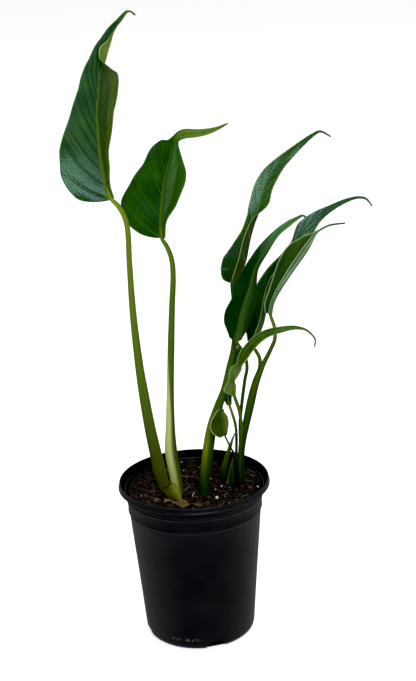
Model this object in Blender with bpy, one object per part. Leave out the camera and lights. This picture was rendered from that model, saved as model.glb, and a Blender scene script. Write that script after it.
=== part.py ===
# Potted flame monstera: a young plant in a round moulded nursery pot.
# Metres, +Z up. The origin is the middle of the pot's flat underside, and -Y is the side that faces the viewer.

import math
import random

import bmesh
import bpy
from mathutils import Vector, noise

MM = 0.001
GAP = 0.3 * MM  # clearance between neighbours that touch

# Pot, in mm
RIM_RADIUS = 63.2
POT_HEIGHT = 137.0
FLOOR = 2.0
FOOT_RADIUS = 40.0
CORNER = 6.0
TURN_STEPS = 44  # flats round the pot and the mix
LIP_HEIGHT = 4.4
NOTCH_COUNT = 4
NOTCH_WIDTH = 20.0
NOTCH_HEIGHT = 6.0
NOTCH_TURN = 10.0  # degrees from -Y to the notch that shows in front

# Potting mix, in mm
SOIL_LEVEL = 125.0
SOIL_RADIUS = 54.4
SOIL_RELIEF = 1.3
SOIL_RISE = 0.12
SOIL_RINGS = 9
CHIP_COUNT = 36

# Leaves and stalks, in mm
BLADE_THICKNESS = 0.7
MIDRIB_THICKNESS = 2.2
DRY_SCALE_SEAT = 1.4  # from the mix up to the upper face where the scale rests
STALK_SIDES = 10


def clear_scene():
    for thing in list(bpy.data.objects):
        bpy.data.objects.remove(thing, do_unlink=True)


def finish_of(name, colour, roughness, metallic=0.0):
    material = bpy.data.materials.new(name)
    material.use_nodes = True
    shader = material.node_tree.nodes["Principled BSDF"]
    shader.inputs["Base Color"].default_value = (*colour, 1.0)
    shader.inputs["Roughness"].default_value = roughness
    shader.inputs["Metallic"].default_value = metallic
    return material


def object_from(name, mesh_maker, finish, smooth=True):
    """Turns a finished bmesh into an object of its own."""
    mesh = bpy.data.meshes.new(name)
    mesh_maker.to_mesh(mesh)
    mesh_maker.free()
    mesh.materials.append(finish)
    if smooth:
        mesh.shade_smooth()
        mesh.set_sharp_from_angle(angle=math.radians(40))
    thing = bpy.data.objects.new(name, mesh)
    bpy.context.scene.collection.objects.link(thing)
    return thing


def boolean(target, cutter, operation, solver="EXACT"):
    modifier = target.modifiers.new(operation.title(), "BOOLEAN")
    modifier.operation = operation
    modifier.object = cutter
    modifier.solver = solver
    cutter.hide_render = True
    cutter.display_type = "WIRE"
    return modifier


# Smooth routes. A route is a list of stations, each a row of numbers that starts with x, y, z.


def spaced(stations):
    """The share of the route's length at which each station lies, from 0 to 1."""
    shares = [0.0]
    for before, after in zip(stations, stations[1:]):
        shares.append(shares[-1] + (Vector(after[:3]) - Vector(before[:3])).length)
    return [share / shares[-1] for share in shares]


def station_at(stations, shares, share):
    """All the numbers of a station at this share of the route, on a smooth curve through the rows."""
    last = len(stations) - 1
    index = max(i for i in range(last) if shares[i] <= share or i == 0)
    span = shares[index + 1] - shares[index]
    s = (share - shares[index]) / span

    def slope(i, column):
        low, high = max(i - 1, 0), min(i + 1, last)
        return (stations[high][column] - stations[low][column]) / (shares[high] - shares[low])

    values = []
    for column in range(len(stations[0])):
        start, end = stations[index][column], stations[index + 1][column]
        in_slope, out_slope = slope(index, column) * span, slope(index + 1, column) * span
        bend = (2 * start + in_slope - 2 * end + out_slope) * s**3
        bend += (3 * end - 3 * start - 2 * in_slope - out_slope) * s**2
        values.append(bend + in_slope * s + start)
    return values


def frame_at(stations, shares, share):
    """Point, direction, the sideways direction (right as seen from -Y) and the facing direction."""
    step = 0.004
    before = Vector(station_at(stations, shares, max(share - step, 0.0))[:3])
    after = Vector(station_at(stations, shares, min(share + step, 1.0))[:3])
    along = (after - before).normalized()
    sideways = Vector((0, 1, 0)).cross(along).normalized()
    return along, sideways, sideways.cross(along)


# Stalks. A station is x, y, z, width across, depth front to back, and how deep the channel in its face is.


def make_stalk(name, stations, finish, lengths=14, sides=STALK_SIDES, crowding=1.5):
    """A tube along the stations; crowding above 1 sets its sections closer together near the top."""
    shares = spaced(stations)
    maker = bmesh.new()
    bmesh.ops.create_cone(maker, cap_ends=True, segments=sides, radius1=1, radius2=1, depth=1)
    long_edges = [e for e in maker.edges if abs(e.verts[0].co.z - e.verts[1].co.z) > 0.5]
    bmesh.ops.subdivide_edges(maker, edges=long_edges, cuts=lengths - 1, use_grid_fill=True)
    for vert in maker.verts:
        angle = math.atan2(vert.co.y, vert.co.x)
        share = 1 - min(max(0.5 - vert.co.z, 0.0), 1.0) ** crowding
        x, y, z, width, depth, channel = station_at(stations, shares, share)
        along, sideways, facing = frame_at(stations, shares, share)
        in_channel = max(-math.sin(angle), 0.0) ** 4
        pull = 1 - channel * in_channel
        place = Vector((x, y, z))
        place += sideways * (math.cos(angle) * width / 2 * pull)
        place -= facing * (math.sin(angle) * depth / 2 * pull)
        vert.co = place * MM
    return object_from(name, maker, finish)


# Blades. A station is x, y, z of the midrib, then the half width and the tilt of each side: left, tilt, right, tilt.
# A tilt is how far that half is turned towards the viewer, in degrees; lobes say how far the base margin lies back.


def blade_point(stations, shares, lobes, curl, across, share):
    x, y, z, left, left_tilt, right, right_tilt = station_at(stations, shares, share)
    along, sideways, facing = frame_at(stations, shares, share)
    side = 1 if across > 0 else -1
    width, tilt, lobe = (right, right_tilt, lobes[1]) if side > 0 else (left, left_tilt, lobes[0])
    width = max(width, 0.45)
    reach = abs(across)
    turn = math.radians(tilt + curl * (reach - 0.5))
    place = Vector((x, y, z))
    place += (sideways * side * math.cos(turn) + facing * math.sin(turn)) * width * reach
    place -= along * lobe * reach**2 * min(width / 12, 1.0) * max(0.0, 1 - share / 0.16)
    return place


def make_blade(name, stations, finish, lobes=(0, 0), curl=0.0, columns=8, lengths=22, midrib=MIDRIB_THICKNESS):
    shares = spaced(stations)
    maker = bmesh.new()
    bmesh.ops.create_grid(maker, x_segments=columns, y_segments=lengths, size=1.0)
    ribs = maker.verts.layers.float.new("rib")
    for vert in maker.verts:
        across, share = vert.co.x, (vert.co.y + 1) / 2
        vert[ribs] = max(0.0, 1 - abs(across) * columns / 2) * (1 - share) ** 0.5
        vert.co = blade_point(stations, shares, lobes, curl, across, share) * MM
    bmesh.ops.triangulate(maker, faces=maker.faces)
    weights = {vert.index: vert[ribs] for vert in maker.verts}
    thin = BLADE_THICKNESS / midrib
    blade = object_from(name, maker, finish)
    group = blade.vertex_groups.new(name="thickness")
    for index, rib in weights.items():
        group.add([index], thin + (1 - thin) * rib, "REPLACE")
    solidify = blade.modifiers.new("Thickness", "SOLIDIFY")
    solidify.thickness = midrib * MM
    solidify.offset = -1
    solidify.vertex_group = group.name
    return blade


# Pot


def pot_outside():
    """Radius and height of the outer side, from the underside up to the lip."""
    turn = [math.radians(a) for a in (0, 30, 60, 84)]
    bottom = [(FOOT_RADIUS + CORNER * math.sin(a), CORNER * (1 - math.cos(a))) for a in turn]
    wall = [(50.0, 52.0), (55.2, 111.4)]
    rings = [(55.9, 112.9), (56.7, 123.2), (57.4, 124.5), (58.6, 131.6)]
    lip_foot = POT_HEIGHT - LIP_HEIGHT
    lip = [
        (RIM_RADIUS - 0.9, lip_foot - 0.3),
        (RIM_RADIUS, lip_foot + 1.0),
        (RIM_RADIUS, POT_HEIGHT - 1.3),
        (RIM_RADIUS - 1.1, POT_HEIGHT),
    ]
    return bottom + wall + rings + lip


def pot_inside():
    """Radius and height of the inner side, from the mouth down to the floor."""
    return [
        (RIM_RADIUS - 3.0, POT_HEIGHT - 1.2),
        (57.7, 130.4),
        (55.6, 128.8),
        (54.4, 119.0),
        (48.6, 52.0),
        (44.6, 8.0),
        (41.6, 3.4),
        (38.0, FLOOR),
    ]


def spin_profile(maker, profile, steps):
    """Turns a profile that starts and ends on the axis into a closed body."""
    verts = [maker.verts.new((radius * MM, 0, height * MM)) for radius, height in profile]
    edges = [maker.edges.new(pair) for pair in zip(verts, verts[1:])]
    bmesh.ops.spin(
        maker,
        geom=verts + edges,
        cent=(0, 0, 0),
        axis=(0, 0, 1),
        angle=math.tau,
        steps=steps,
        use_merge=True,
    )
    bmesh.ops.remove_doubles(maker, verts=maker.verts, dist=0.00001)
    bmesh.ops.recalc_face_normals(maker, faces=maker.faces)


def make_pot(finish):
    maker = bmesh.new()
    spin_profile(maker, [(0.0, 0.0)] + pot_outside() + pot_inside() + [(0.0, FLOOR)], TURN_STEPS)
    pot = object_from("pot", maker, finish)
    notches = bmesh.new()
    for number in range(NOTCH_COUNT):
        angle = math.radians(NOTCH_TURN + number * 360 / NOTCH_COUNT)
        made = bmesh.ops.create_cube(notches, size=1.0)["verts"]
        for vert in made:
            narrow = 0.5 if vert.co.z > 0 else 1.0
            along = vert.co.x * NOTCH_WIDTH * narrow
            out = 46.0 + vert.co.y * 12.0
            up = NOTCH_HEIGHT if vert.co.z > 0 else -2.0
            x = out * math.sin(angle) + along * math.cos(angle)
            y = -out * math.cos(angle) + along * math.sin(angle)
            vert.co = Vector((x, y, up)) * MM
    bmesh.ops.recalc_face_normals(notches, faces=notches.faces)
    boolean(pot, object_from("pot_notches", notches, finish, smooth=False), "DIFFERENCE")
    return pot


# Potting mix


def soil_height(x, y):
    """Height of the mix in mm at x, y in mm: a rolling, crumbly surface that rises towards the wall."""
    rolling = noise.noise(Vector((x * 0.06, y * 0.06, 1.7)))
    crumbs = noise.noise(Vector((x * 0.21, y * 0.21, 5.3)))
    edge = max(0.0, math.hypot(x, y) - 30.0) * SOIL_RISE
    return SOIL_LEVEL + SOIL_RELIEF * (0.9 * rolling + 0.8 * crumbs) + edge


def add_chip(maker, draw, x, y, size):
    """One chip of bark or one crumb, half sunk in the mix."""
    made = bmesh.ops.create_icosphere(maker, subdivisions=1, radius=1.0)["verts"]
    turn = draw.uniform(0, math.pi)
    long, flat = size * draw.uniform(1.0, 1.7), size * draw.uniform(0.5, 0.8)
    lift = soil_height(x, y) + flat * 0.25
    for vert in made:
        along, aside = vert.co.x * long, vert.co.y * size * draw.uniform(0.75, 1.0)
        across = along * math.cos(turn) - aside * math.sin(turn)
        back = along * math.sin(turn) + aside * math.cos(turn)
        vert.co = Vector((x + across, y + back, lift + vert.co.z * flat)) * MM


def make_soil(finish):
    clear = GAP / MM
    inside = [(r - clear, z + clear) for r, z in pot_inside() if z < SOIL_LEVEL - 2]
    rings = [(SOIL_RADIUS * n / SOIL_RINGS, SOIL_LEVEL) for n in range(SOIL_RINGS + 1)]
    floor = [(inside[-1][0], FLOOR + clear), (0.0, FLOOR + clear)]
    maker = bmesh.new()
    spin_profile(maker, rings + inside[:-1] + floor, TURN_STEPS)
    for vert in maker.verts:
        if abs(vert.co.z - SOIL_LEVEL * MM) < 1e-6:
            vert.co.z = soil_height(vert.co.x / MM, vert.co.y / MM) * MM
    soil = object_from("soil", maker, finish)

    draw = random.Random(11)
    kept_free = [(x, y, wide + 1.0) for x, y, wide, deep, bottom in HOLES] + SCALE_AREA
    chips = bmesh.new()
    placed = 0
    while placed < CHIP_COUNT:
        size = draw.uniform(1.5, 2.9)
        away, angle = 49.0 * math.sqrt(draw.random()), draw.uniform(0, math.tau)
        x, y = away * math.cos(angle), away * math.sin(angle)
        if any(math.hypot(x - fx, y - fy) < size * 1.7 + reach for fx, fy, reach in kept_free):
            continue
        add_chip(chips, draw, x, y, size)
        kept_free.append((x, y, size * 0.6))
        placed += 1
    boolean(soil, object_from("soil_chips", chips, finish, smooth=False), "UNION", "MANIFOLD")

    for number, (x, y, wide, deep, bottom) in enumerate(HOLES):
        hole = bmesh.new()
        bmesh.ops.create_cone(hole, cap_ends=True, segments=18, radius1=1, radius2=1, depth=1)
        for vert in hole.verts:
            height = bottom if vert.co.z < 0 else SOIL_LEVEL + 12
            vert.co = Vector((x + vert.co.x * wide, y + vert.co.y * deep, height)) * MM
        boolean(soil, object_from(f"soil_hole_{number}", hole, finish, smooth=False), "DIFFERENCE")
    return soil


# Stalks: x, y, z, width, depth, channel

STEM_LEFT = [
    (-22.4, -10, 98, 8.6, 8.6, 0),
    (-22.6, -10, 112, 9.2, 9.0, 0),
    (-22.8, -10, 126, 9.2, 9.2, 0),
    (-24.8, -10, 135.6, 9.8, 9.4, 0),
]
STALK_LEFT_TALL = [
    (-24.9, -10, 136, 9.8, 9.4, 0),
    (-27.4, -10, 148, 10.4, 9.2, 0),
    (-30.8, -11, 169, 9.9, 8.6, 0),
    (-33.9, -12, 191, 9.0, 8.0, 0),
    (-36.8, -15, 219, 8.1, 7.2, 0),
    (-39, -18, 245, 6.8, 6.2, 0),
    (-41.1, -23, 291, 5.4, 5.0, 0),
    (-41.3, -27, 335, 4.4, 4.2, 0),
    (-41, -29, 360, 4.2, 4.0, 0),
    (-43, -30, 371, 4.0, 3.8, 0),
    (-47.5, -30.4, 380, 3.8, 3.4, 0),
    (-51.5, -30, 384.1, 3.2, 2.8, 0),
]
STALK_LEFT_SHORT = [
    (-13.8, -5.4, 108, 8.6, 8.6, 0),
    (-13.9, -5.4, 124, 9.0, 8.8, 0),
    (-15.4, -5.2, 144, 10.2, 8.8, 0.15),
    (-17.6, -4.2, 163, 10.2, 8.4, 0.3),
    (-17.2, -2.2, 185, 7.6, 7.2, 0.3),
    (-15.7, 0.4, 215, 6.0, 6.2, 0.15),
    (-13.5, 2.6, 249, 5.6, 5.6, 0),
    (-10.9, 3, 285, 4.9, 4.9, 0),
    (-8.6, 3, 312, 4.4, 4.4, 0),
    (-9.2, 4, 326, 4.1, 4.1, 0),
    (-12.5, 4.4, 336.3, 3.8, 3.8, 0),
    (-15.8, 5, 342, 3.2, 3.0, 0),
]
STALK_CENTRE = [
    (7.9, -5.5, 104, 7.8, 8.0, 0),
    (7.9, -5.5, 125, 8.0, 8.0, 0),
    (9.2, -5, 136.5, 8.6, 8.2, 0.1),
    (11.3, -3.6, 152, 9.2, 8.2, 0.2),
    (13.6, -1.8, 166, 9.2, 8.0, 0.25),
    (17, 1, 182, 8.4, 7.6, 0.25),
    (22.8, 4.2, 197.5, 7.4, 6.8, 0.15),
    (28.4, 7, 211.5, 5.8, 5.6, 0),
    (33.5, 11, 229, 5.6, 5.2, 0),
    (38, 14, 246, 5.0, 4.6, 0),
    (40.2, 18.5, 272, 4.4, 4.0, 0),
    (38.9, 24.8, 296.2, 3.4, 3.0, 0),
]
STALK_FRONT = [
    (38.8, 12.4, 126, 2.9, 2.9, 0),
    (39.6, 12.8, 145, 2.8, 2.8, 0),
    (40.1, 12, 164, 2.8, 2.8, 0),
    (40.6, 10.4, 182, 2.8, 2.8, 0),
    (42.4, 8, 198, 2.8, 2.8, 0),
    (45.6, 3, 221, 2.8, 2.8, 0),
    (47.6, 0, 232, 2.8, 2.8, 0),
    (46.6, -1.6, 242, 2.8, 2.8, 0),
    (43.4, -3.4, 250, 2.8, 2.8, 0),
    (40.4, -5, 256.1, 2.6, 2.4, 0),
]
STALK_RIGHT_LONG = [
    (38.5, 20.8, 126, 4.0, 3.4, 0),
    (41.2, 21.8, 151, 4.0, 3.4, 0),
    (44.4, 22, 172, 4.0, 3.4, 0),
    (48.6, 21.8, 193, 4.0, 3.2, 0),
    (54, 20.8, 212.5, 3.8, 3.2, 0),
    (58.4, 19.6, 224, 3.4, 3.2, 0),
    (58.8, 19, 233, 3.2, 3.0, 0),
    (55.4, 18.4, 241, 3.0, 3.0, 0),
    (50.7, 18, 246.7, 2.4, 2.2, 0),
]
STALK_OLIVE = [
    (40.7, 16.6, 126, 4.4, 4.0, 0),
    (40.9, 16.8, 148, 4.6, 4.0, 0.2),
    (43, 17, 164, 5.4, 4.4, 0.3),
    (46.4, 16.4, 180, 6.4, 4.6, 0.35),
    (50, 15, 195, 6.6, 4.6, 0.3),
    (54.6, 12.6, 213, 5.6, 4.2, 0.2),
    (60.8, 10, 230, 4.2, 3.6, 0),
    (67, 8, 243, 3.4, 3.2, 0),
    (71.2, 6.6, 253.5, 3.2, 3.0, 0),
    (71.2, 5.4, 264, 3.0, 2.9, 0),
    (68.2, 5, 275, 2.6, 2.4, 0),
]
STALK_CURLED = [
    (37.8, 8.6, 126, 2.7, 2.7, 0),
    (38.4, 7.4, 148, 2.7, 2.7, 0),
    (40.1, 5, 167, 2.7, 2.7, 0),
    (41, 1, 183, 2.8, 2.7, 0),
    (40, -4, 196.5, 2.9, 2.8, 0),
    (37.8, -8, 206, 2.9, 2.8, 0),
    (36.1, -11, 212.7, 2.8, 2.4, 0),
]
STALK_YOUNG = [
    (35, 14, 126, 2.4, 2.4, 0),
    (36, 15.4, 145, 2.4, 2.4, 0),
    (37, 17.2, 163, 2.4, 2.4, 0),
    (36.8, 18.8, 174, 2.4, 2.4, 0),
    (34.8, 21.6, 183, 2.4, 2.4, 0),
    (32.5, 24, 190.4, 2.2, 2.0, 0),
]
STALK_CUP = [
    (37.6, 4.8, 126, 1.8, 1.8, 0),
    (37.4, 2.6, 141, 1.7, 1.7, 0),
    (36.8, -0.2, 151.5, 1.7, 1.7, 0),
    (34.2, -3, 159, 1.6, 1.6, 0),
    (31.1, -6.2, 166.3, 1.6, 1.6, 0),
    (28.8, -9, 173.3, 1.6, 1.6, 0),
    (27.4, -10.8, 177.5, 1.5, 1.5, 0),
]
BUD_SHEATH_TALL = [
    (24, 14.4, 126, 5.4, 3.6, 0.45),
    (25, 14, 134, 5.6, 3.4, 0.5),
    (27.6, 13, 146, 4.8, 3.0, 0.5),
    (30.8, 12, 157, 3.4, 2.4, 0.4),
    (33.6, 11.2, 165.5, 2.0, 1.7, 0.2),
    (35.8, 10.4, 171.5, 0.9, 0.9, 0),
]
BUD_SHEATH_SHORT = [
    (31, 8.6, 126, 7.0, 3.0, 0),
    (31.3, 8.2, 134, 5.6, 2.6, 0),
    (32.3, 7.8, 143, 3.2, 2.0, 0),
    (33.6, 7, 151, 1.2, 1.0, 0),
]

# The buried crown and the plain holes: x, y, half width, half depth and height of the bottom
CROWN = (32.8, 12.8, 12.6, 10.8, 98.0)
CROWN_TOP = 125.4
SCALE_AREA = [(-20, -23, 6), (-10, -27, 6), (0, -31, 6)]  # kept free of chips
HOLES = [
    (-22.8, -10, 5.35, 5.25, 97.5),
    (-13.9, -5.4, 5.15, 5.1, 107.5),
    (8.0, -5.5, 4.8, 4.7, 103.5),
    (CROWN[0], CROWN[1], CROWN[2] + 0.8, CROWN[3] + 0.85, CROWN[4] - 0.35),
]

# Blades: x, y, z, left half width, left tilt, right half width, right tilt

LEAF_LEFT_TALL = [
    (-52, -30, 385, 16, 5, 3, 50),
    (-55, -26.5, 393, 26.5, 8, 6.5, 60),
    (-57.5, -20.5, 404, 31.8, 10, 11.7, 62),
    (-59.5, -14.5, 418.5, 31.4, 10, 15.6, 60),
    (-60, -11, 435, 26, 12, 18.2, 55),
    (-60, -9, 449.5, 19.4, 12, 19, 48),
    (-58, -7, 463, 15.9, 13, 19.9, 42),
    (-57, -4, 471.5, 14.4, 14, 19.2, 42),
    (-56, -1.5, 477, 13, 16, 16.6, 52),
    (-54, 0.5, 481.5, 12.2, 18, 11, 92),
    (-52, 2, 486.5, 11.6, 18, 8, 140),
    (-50, 3.5, 492.5, 10.2, 16, 8.2, 150),
    (-47.5, 5.5, 499, 7.8, 12, 3.4, 150),
    (-44.5, 7, 506.5, 5, 8, 2, 120),
    (-39.5, 7, 514, 2.4, 0, 1.6, 60),
    (-34.5, 7, 520, 1.2, 0, 1.2, 0),
    (-31, 5, 521.5, 0.9, 0, 0.9, 0),
    (-27, 3, 518.5, 0.6, 0, 0.6, 0),
]
LEAF_LEFT_SHORT = [
    (-16, 5, 343, 17, 0, 3.5, 50),
    (-16, 7, 356, 28, 2, 7.9, 62),
    (-15, 10, 369, 32.2, 5, 17, 52),
    (-13, 13, 383, 25.8, 8, 20, 42),
    (-9.5, 16, 395, 20.1, 10, 18, 36),
    (-6, 19, 406.5, 15.6, 12, 10.3, 30),
    (-3.5, 20.5, 413.5, 10.6, 12, 5.4, 20),
    (-2.5, 20, 416.5, 6.4, 14, 3.8, -20),
    (-1.5, 18.5, 419, 3.4, 60, 3.6, -45),
    (-0.5, 17, 421, 3, 150, 3, -150),
    (1.5, 16, 422.5, 3.7, 175, 3.7, -175),
    (5, 15, 423, 4.2, 180, 4.2, -180),
    (9.5, 15, 423.5, 3.6, 180, 3.6, -180),
    (17, 15, 424, 3.1, 180, 3.2, -180),
    (27.5, 14, 426, 2, 180, 2.1, -180),
    (40, 12, 431, 0.6, 180, 0.6, -180),
]
LEAF_CENTRE = [
    (38.5, 25, 297.5, 1.6, 5, 2, 120),
    (40, 25, 299.5, 6, 5, 3.4, 140),
    (42, 25, 302.5, 10.4, 5, 4.6, 150),
    (45, 25.5, 306.5, 15, 5, 6.2, 158),
    (49.5, 26, 316, 17.2, 4, 7.4, 158),
    (52.5, 27, 328, 11.6, 2, 6.9, 158),
    (55.5, 28, 338.5, 7.7, 2, 5.9, 156),
    (58.5, 30, 346.5, 7.5, 10, 5, 145),
    (61.5, 32.5, 352.5, 8.6, 8, 7.2, 96),
    (64.5, 36, 361.5, 8.8, 2, 7.7, 36),
    (68.5, 40.5, 371.5, 9, -2, 6.6, 28),
    (74, 44.5, 381, 7.7, -4, 6.6, 38),
    (81.5, 48, 389, 5.8, -2, 5, 38),
    (91, 51, 397.5, 3.5, 10, 4, 25),
    (101, 52, 405, 2.3, 0, 2.4, 0),
    (109, 51, 411, 1.4, 0, 1.5, 0),
    (115, 49, 414, 0.9, 0, 1, 0),
    (123, 46, 410, 0.6, 0, 0.6, 0),
]
LEAF_FRONT = [
    (40, -5, 257, 5.5, 10, 3, -15),
    (43, -7, 269, 11.8, 12, 6.2, -15),
    (45, -8, 281, 13.7, 15, 8.8, -15),
    (48.5, -9, 293, 11.8, 15, 8.7, -20),
    (51, -9, 300, 14.4, 12, 7.6, -25),
    (52.8, -9, 306, 12.8, 10, 5.8, -30),
    (56.5, -9.5, 319, 8.2, 15, 4, -30),
    (65, -7.5, 332.5, 6.2, 5, 3.4, -20),
    (75, -3, 344, 3.8, -6, 2.2, -10),
    (85, 0.5, 351.5, 2.5, 0, 2.3, 0),
    (91.5, 2, 355, 1.4, 0, 1.5, 0),
    (96, 2, 357, 0.9, 0, 1, 0),
    (99.5, 0, 355, 0.6, 0, 0.6, 0),
]
LEAF_RIGHT_LONG = [
    (51.5, 18, 248, 3, 20, 1.6, 100),
    (57, 18, 254, 11.6, 25, 3.6, 150),
    (61, 18, 262.5, 15.6, 28, 4, 155),
    (63.5, 18.5, 271.5, 16.2, 30, 4, 155),
    (66, 19, 283, 14.9, 30, 3.8, 155),
    (68.5, 20, 294, 13, 30, 3.6, 150),
    (73.5, 21, 304.5, 9.6, 28, 4, 135),
    (81, 23, 315.5, 5, 15, 5, 90),
    (90, 27, 326.5, 3.6, 4, 5.6, 40),
    (99.5, 32, 337, 7.8, -6, 7.3, 8),
    (109.5, 37, 345.5, 5.6, -8, 4.8, 0),
    (121, 41.5, 351.5, 3, -6, 2.8, 0),
    (133, 44, 356.5, 1.8, 0, 1.8, 0),
    (143, 45, 359, 1.1, 0, 1.2, 0),
    (150.5, 44, 358, 0.9, 0, 0.9, 0),
    (155.5, 42, 352, 0.6, 0, 0.6, 0),
]
LEAF_OLIVE = [
    (68, 5, 276, 4.6, 20, 3, 140),
    (70, 4.5, 285, 7.1, 25, 2.7, 155),
    (74.5, 4, 294, 8.7, 25, 3.6, 158),
    (81, 3, 304, 11.7, 22, 4.4, 158),
    (88, 2, 314, 15.6, 20, 5.6, 158),
    (94.5, 1, 323, 17.1, 18, 6.5, 158),
    (100, 0, 331.5, 13.9, 16, 6.2, 156),
    (103.5, -2, 339, 7.7, 14, 4.3, 150),
    (106, -4, 344, 3, 40, 3, 140),
    (110, -6, 347.5, 2.2, 70, 2.2, 100),
    (117, -8, 351, 1.7, 75, 1.7, 95),
    (128, -12, 353, 0.7, 80, 0.7, 90),
]
LEAF_CURLED = [
    (36, -11, 213.3, 1.5, 20, 1.5, 0),
    (34.4, -12, 221, 7, 40, 3.6, 30),
    (34.6, -13, 228, 4, 70, 5, 70),
    (37.5, -14, 236, 3.5, 60, 4, 60),
    (41.2, -16, 243, 4, 60, 5, 60),
    (44.4, -18, 250.5, 3.4, 30, 6.5, 55),
    (49.3, -20, 258, 3.2, 20, 6, 50),
    (55.8, -22, 264.5, 3.2, 10, 4.8, 40),
    (63.8, -24, 269.4, 3, 0, 3.6, 30),
    (73.3, -26, 272.2, 2.6, 0, 2.8, 20),
    (84.3, -28, 274.2, 1.7, 0, 1.8, 10),
    (92.8, -30, 273.2, 1.0, 0, 1.0, 0),
    (98.2, -31, 269.4, 0.8, 0, 0.8, 0),
    (101.3, -32, 264.6, 0.7, 0, 0.7, 0),
    (100.5, -33, 259, 0.6, 0, 0.6, 0),
]
LEAF_YOUNG = [
    (32.4, 24, 191, 2.0, 10, 2.0, -10),
    (31.4, 24.6, 198, 3.6, 15, 3.6, -20),
    (33.6, 25.4, 209, 4.0, 20, 4.0, -30),
    (37.2, 26, 222, 3.4, 20, 3.6, -30),
    (40.8, 26.4, 234, 2.2, 20, 2.4, -20),
    (42.4, 26.6, 243, 0.7, 0, 0.7, 0),
]
LEAF_CUP = [
    (27.3, -11, 178, 5, 30, 1.6, -20),
    (26.9, -11.8, 182.6, 9.5, 24, 3.6, -30),
    (26.4, -12.2, 187.4, 11.4, 16, 5.4, -35),
    (25.6, -12, 193, 9.6, 10, 5.8, -35),
    (25.2, -11, 198.2, 5, 20, 3.4, -20),
    (26.4, -9.6, 201.4, 0.8, 0, 0.8, 0),
]


def make_dry_scale(finish):
    """A fallen bud scale: a crumpled papery strip that lies on the mix and lifts at its middle."""
    maker = bmesh.new()
    bmesh.ops.create_grid(maker, x_segments=9, y_segments=3, size=1.0)
    start, end = Vector((-25, -21)), Vector((5.5, -33))
    turn = (end - start).normalized()
    for vert in maker.verts:
        along, aside = (vert.co.x + 1) / 2, vert.co.y
        wide = 5.2 * math.sin(math.pi * (0.1 + 0.84 * along)) ** 0.7
        centre = start + (end - start) * along
        flat = centre + Vector((-turn.y, turn.x)) * (aside * wide + 1.6 * math.sin(along * 8))
        lift = 1.5 * (1 + math.sin(along * 12.5 + 2.0 * aside)) * (0.45 + 0.55 * abs(aside))
        height = soil_height(flat.x, flat.y) + DRY_SCALE_SEAT + lift
        vert.co = Vector((flat.x, flat.y, height)) * MM
    bmesh.ops.triangulate(maker, faces=maker.faces)
    scale = object_from("dry_bud_scale", maker, finish)
    solidify = scale.modifiers.new("Thickness", "SOLIDIFY")
    solidify.thickness = BLADE_THICKNESS * MM
    solidify.offset = -1
    return scale


def make_crown(finish):
    """The buried stem that the right-hand stalks stand on."""
    x, y, wide, deep, bottom = CROWN
    maker = bmesh.new()
    made = bmesh.ops.create_cone(maker, cap_ends=True, segments=24, radius1=0.7, radius2=1, depth=1)
    for vert in made["verts"]:
        height = bottom if vert.co.z < 0 else CROWN_TOP
        vert.co = Vector((x + vert.co.x * wide, y + vert.co.y * deep, height)) * MM
    return object_from("crown_right", maker, finish, smooth=False)


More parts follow.
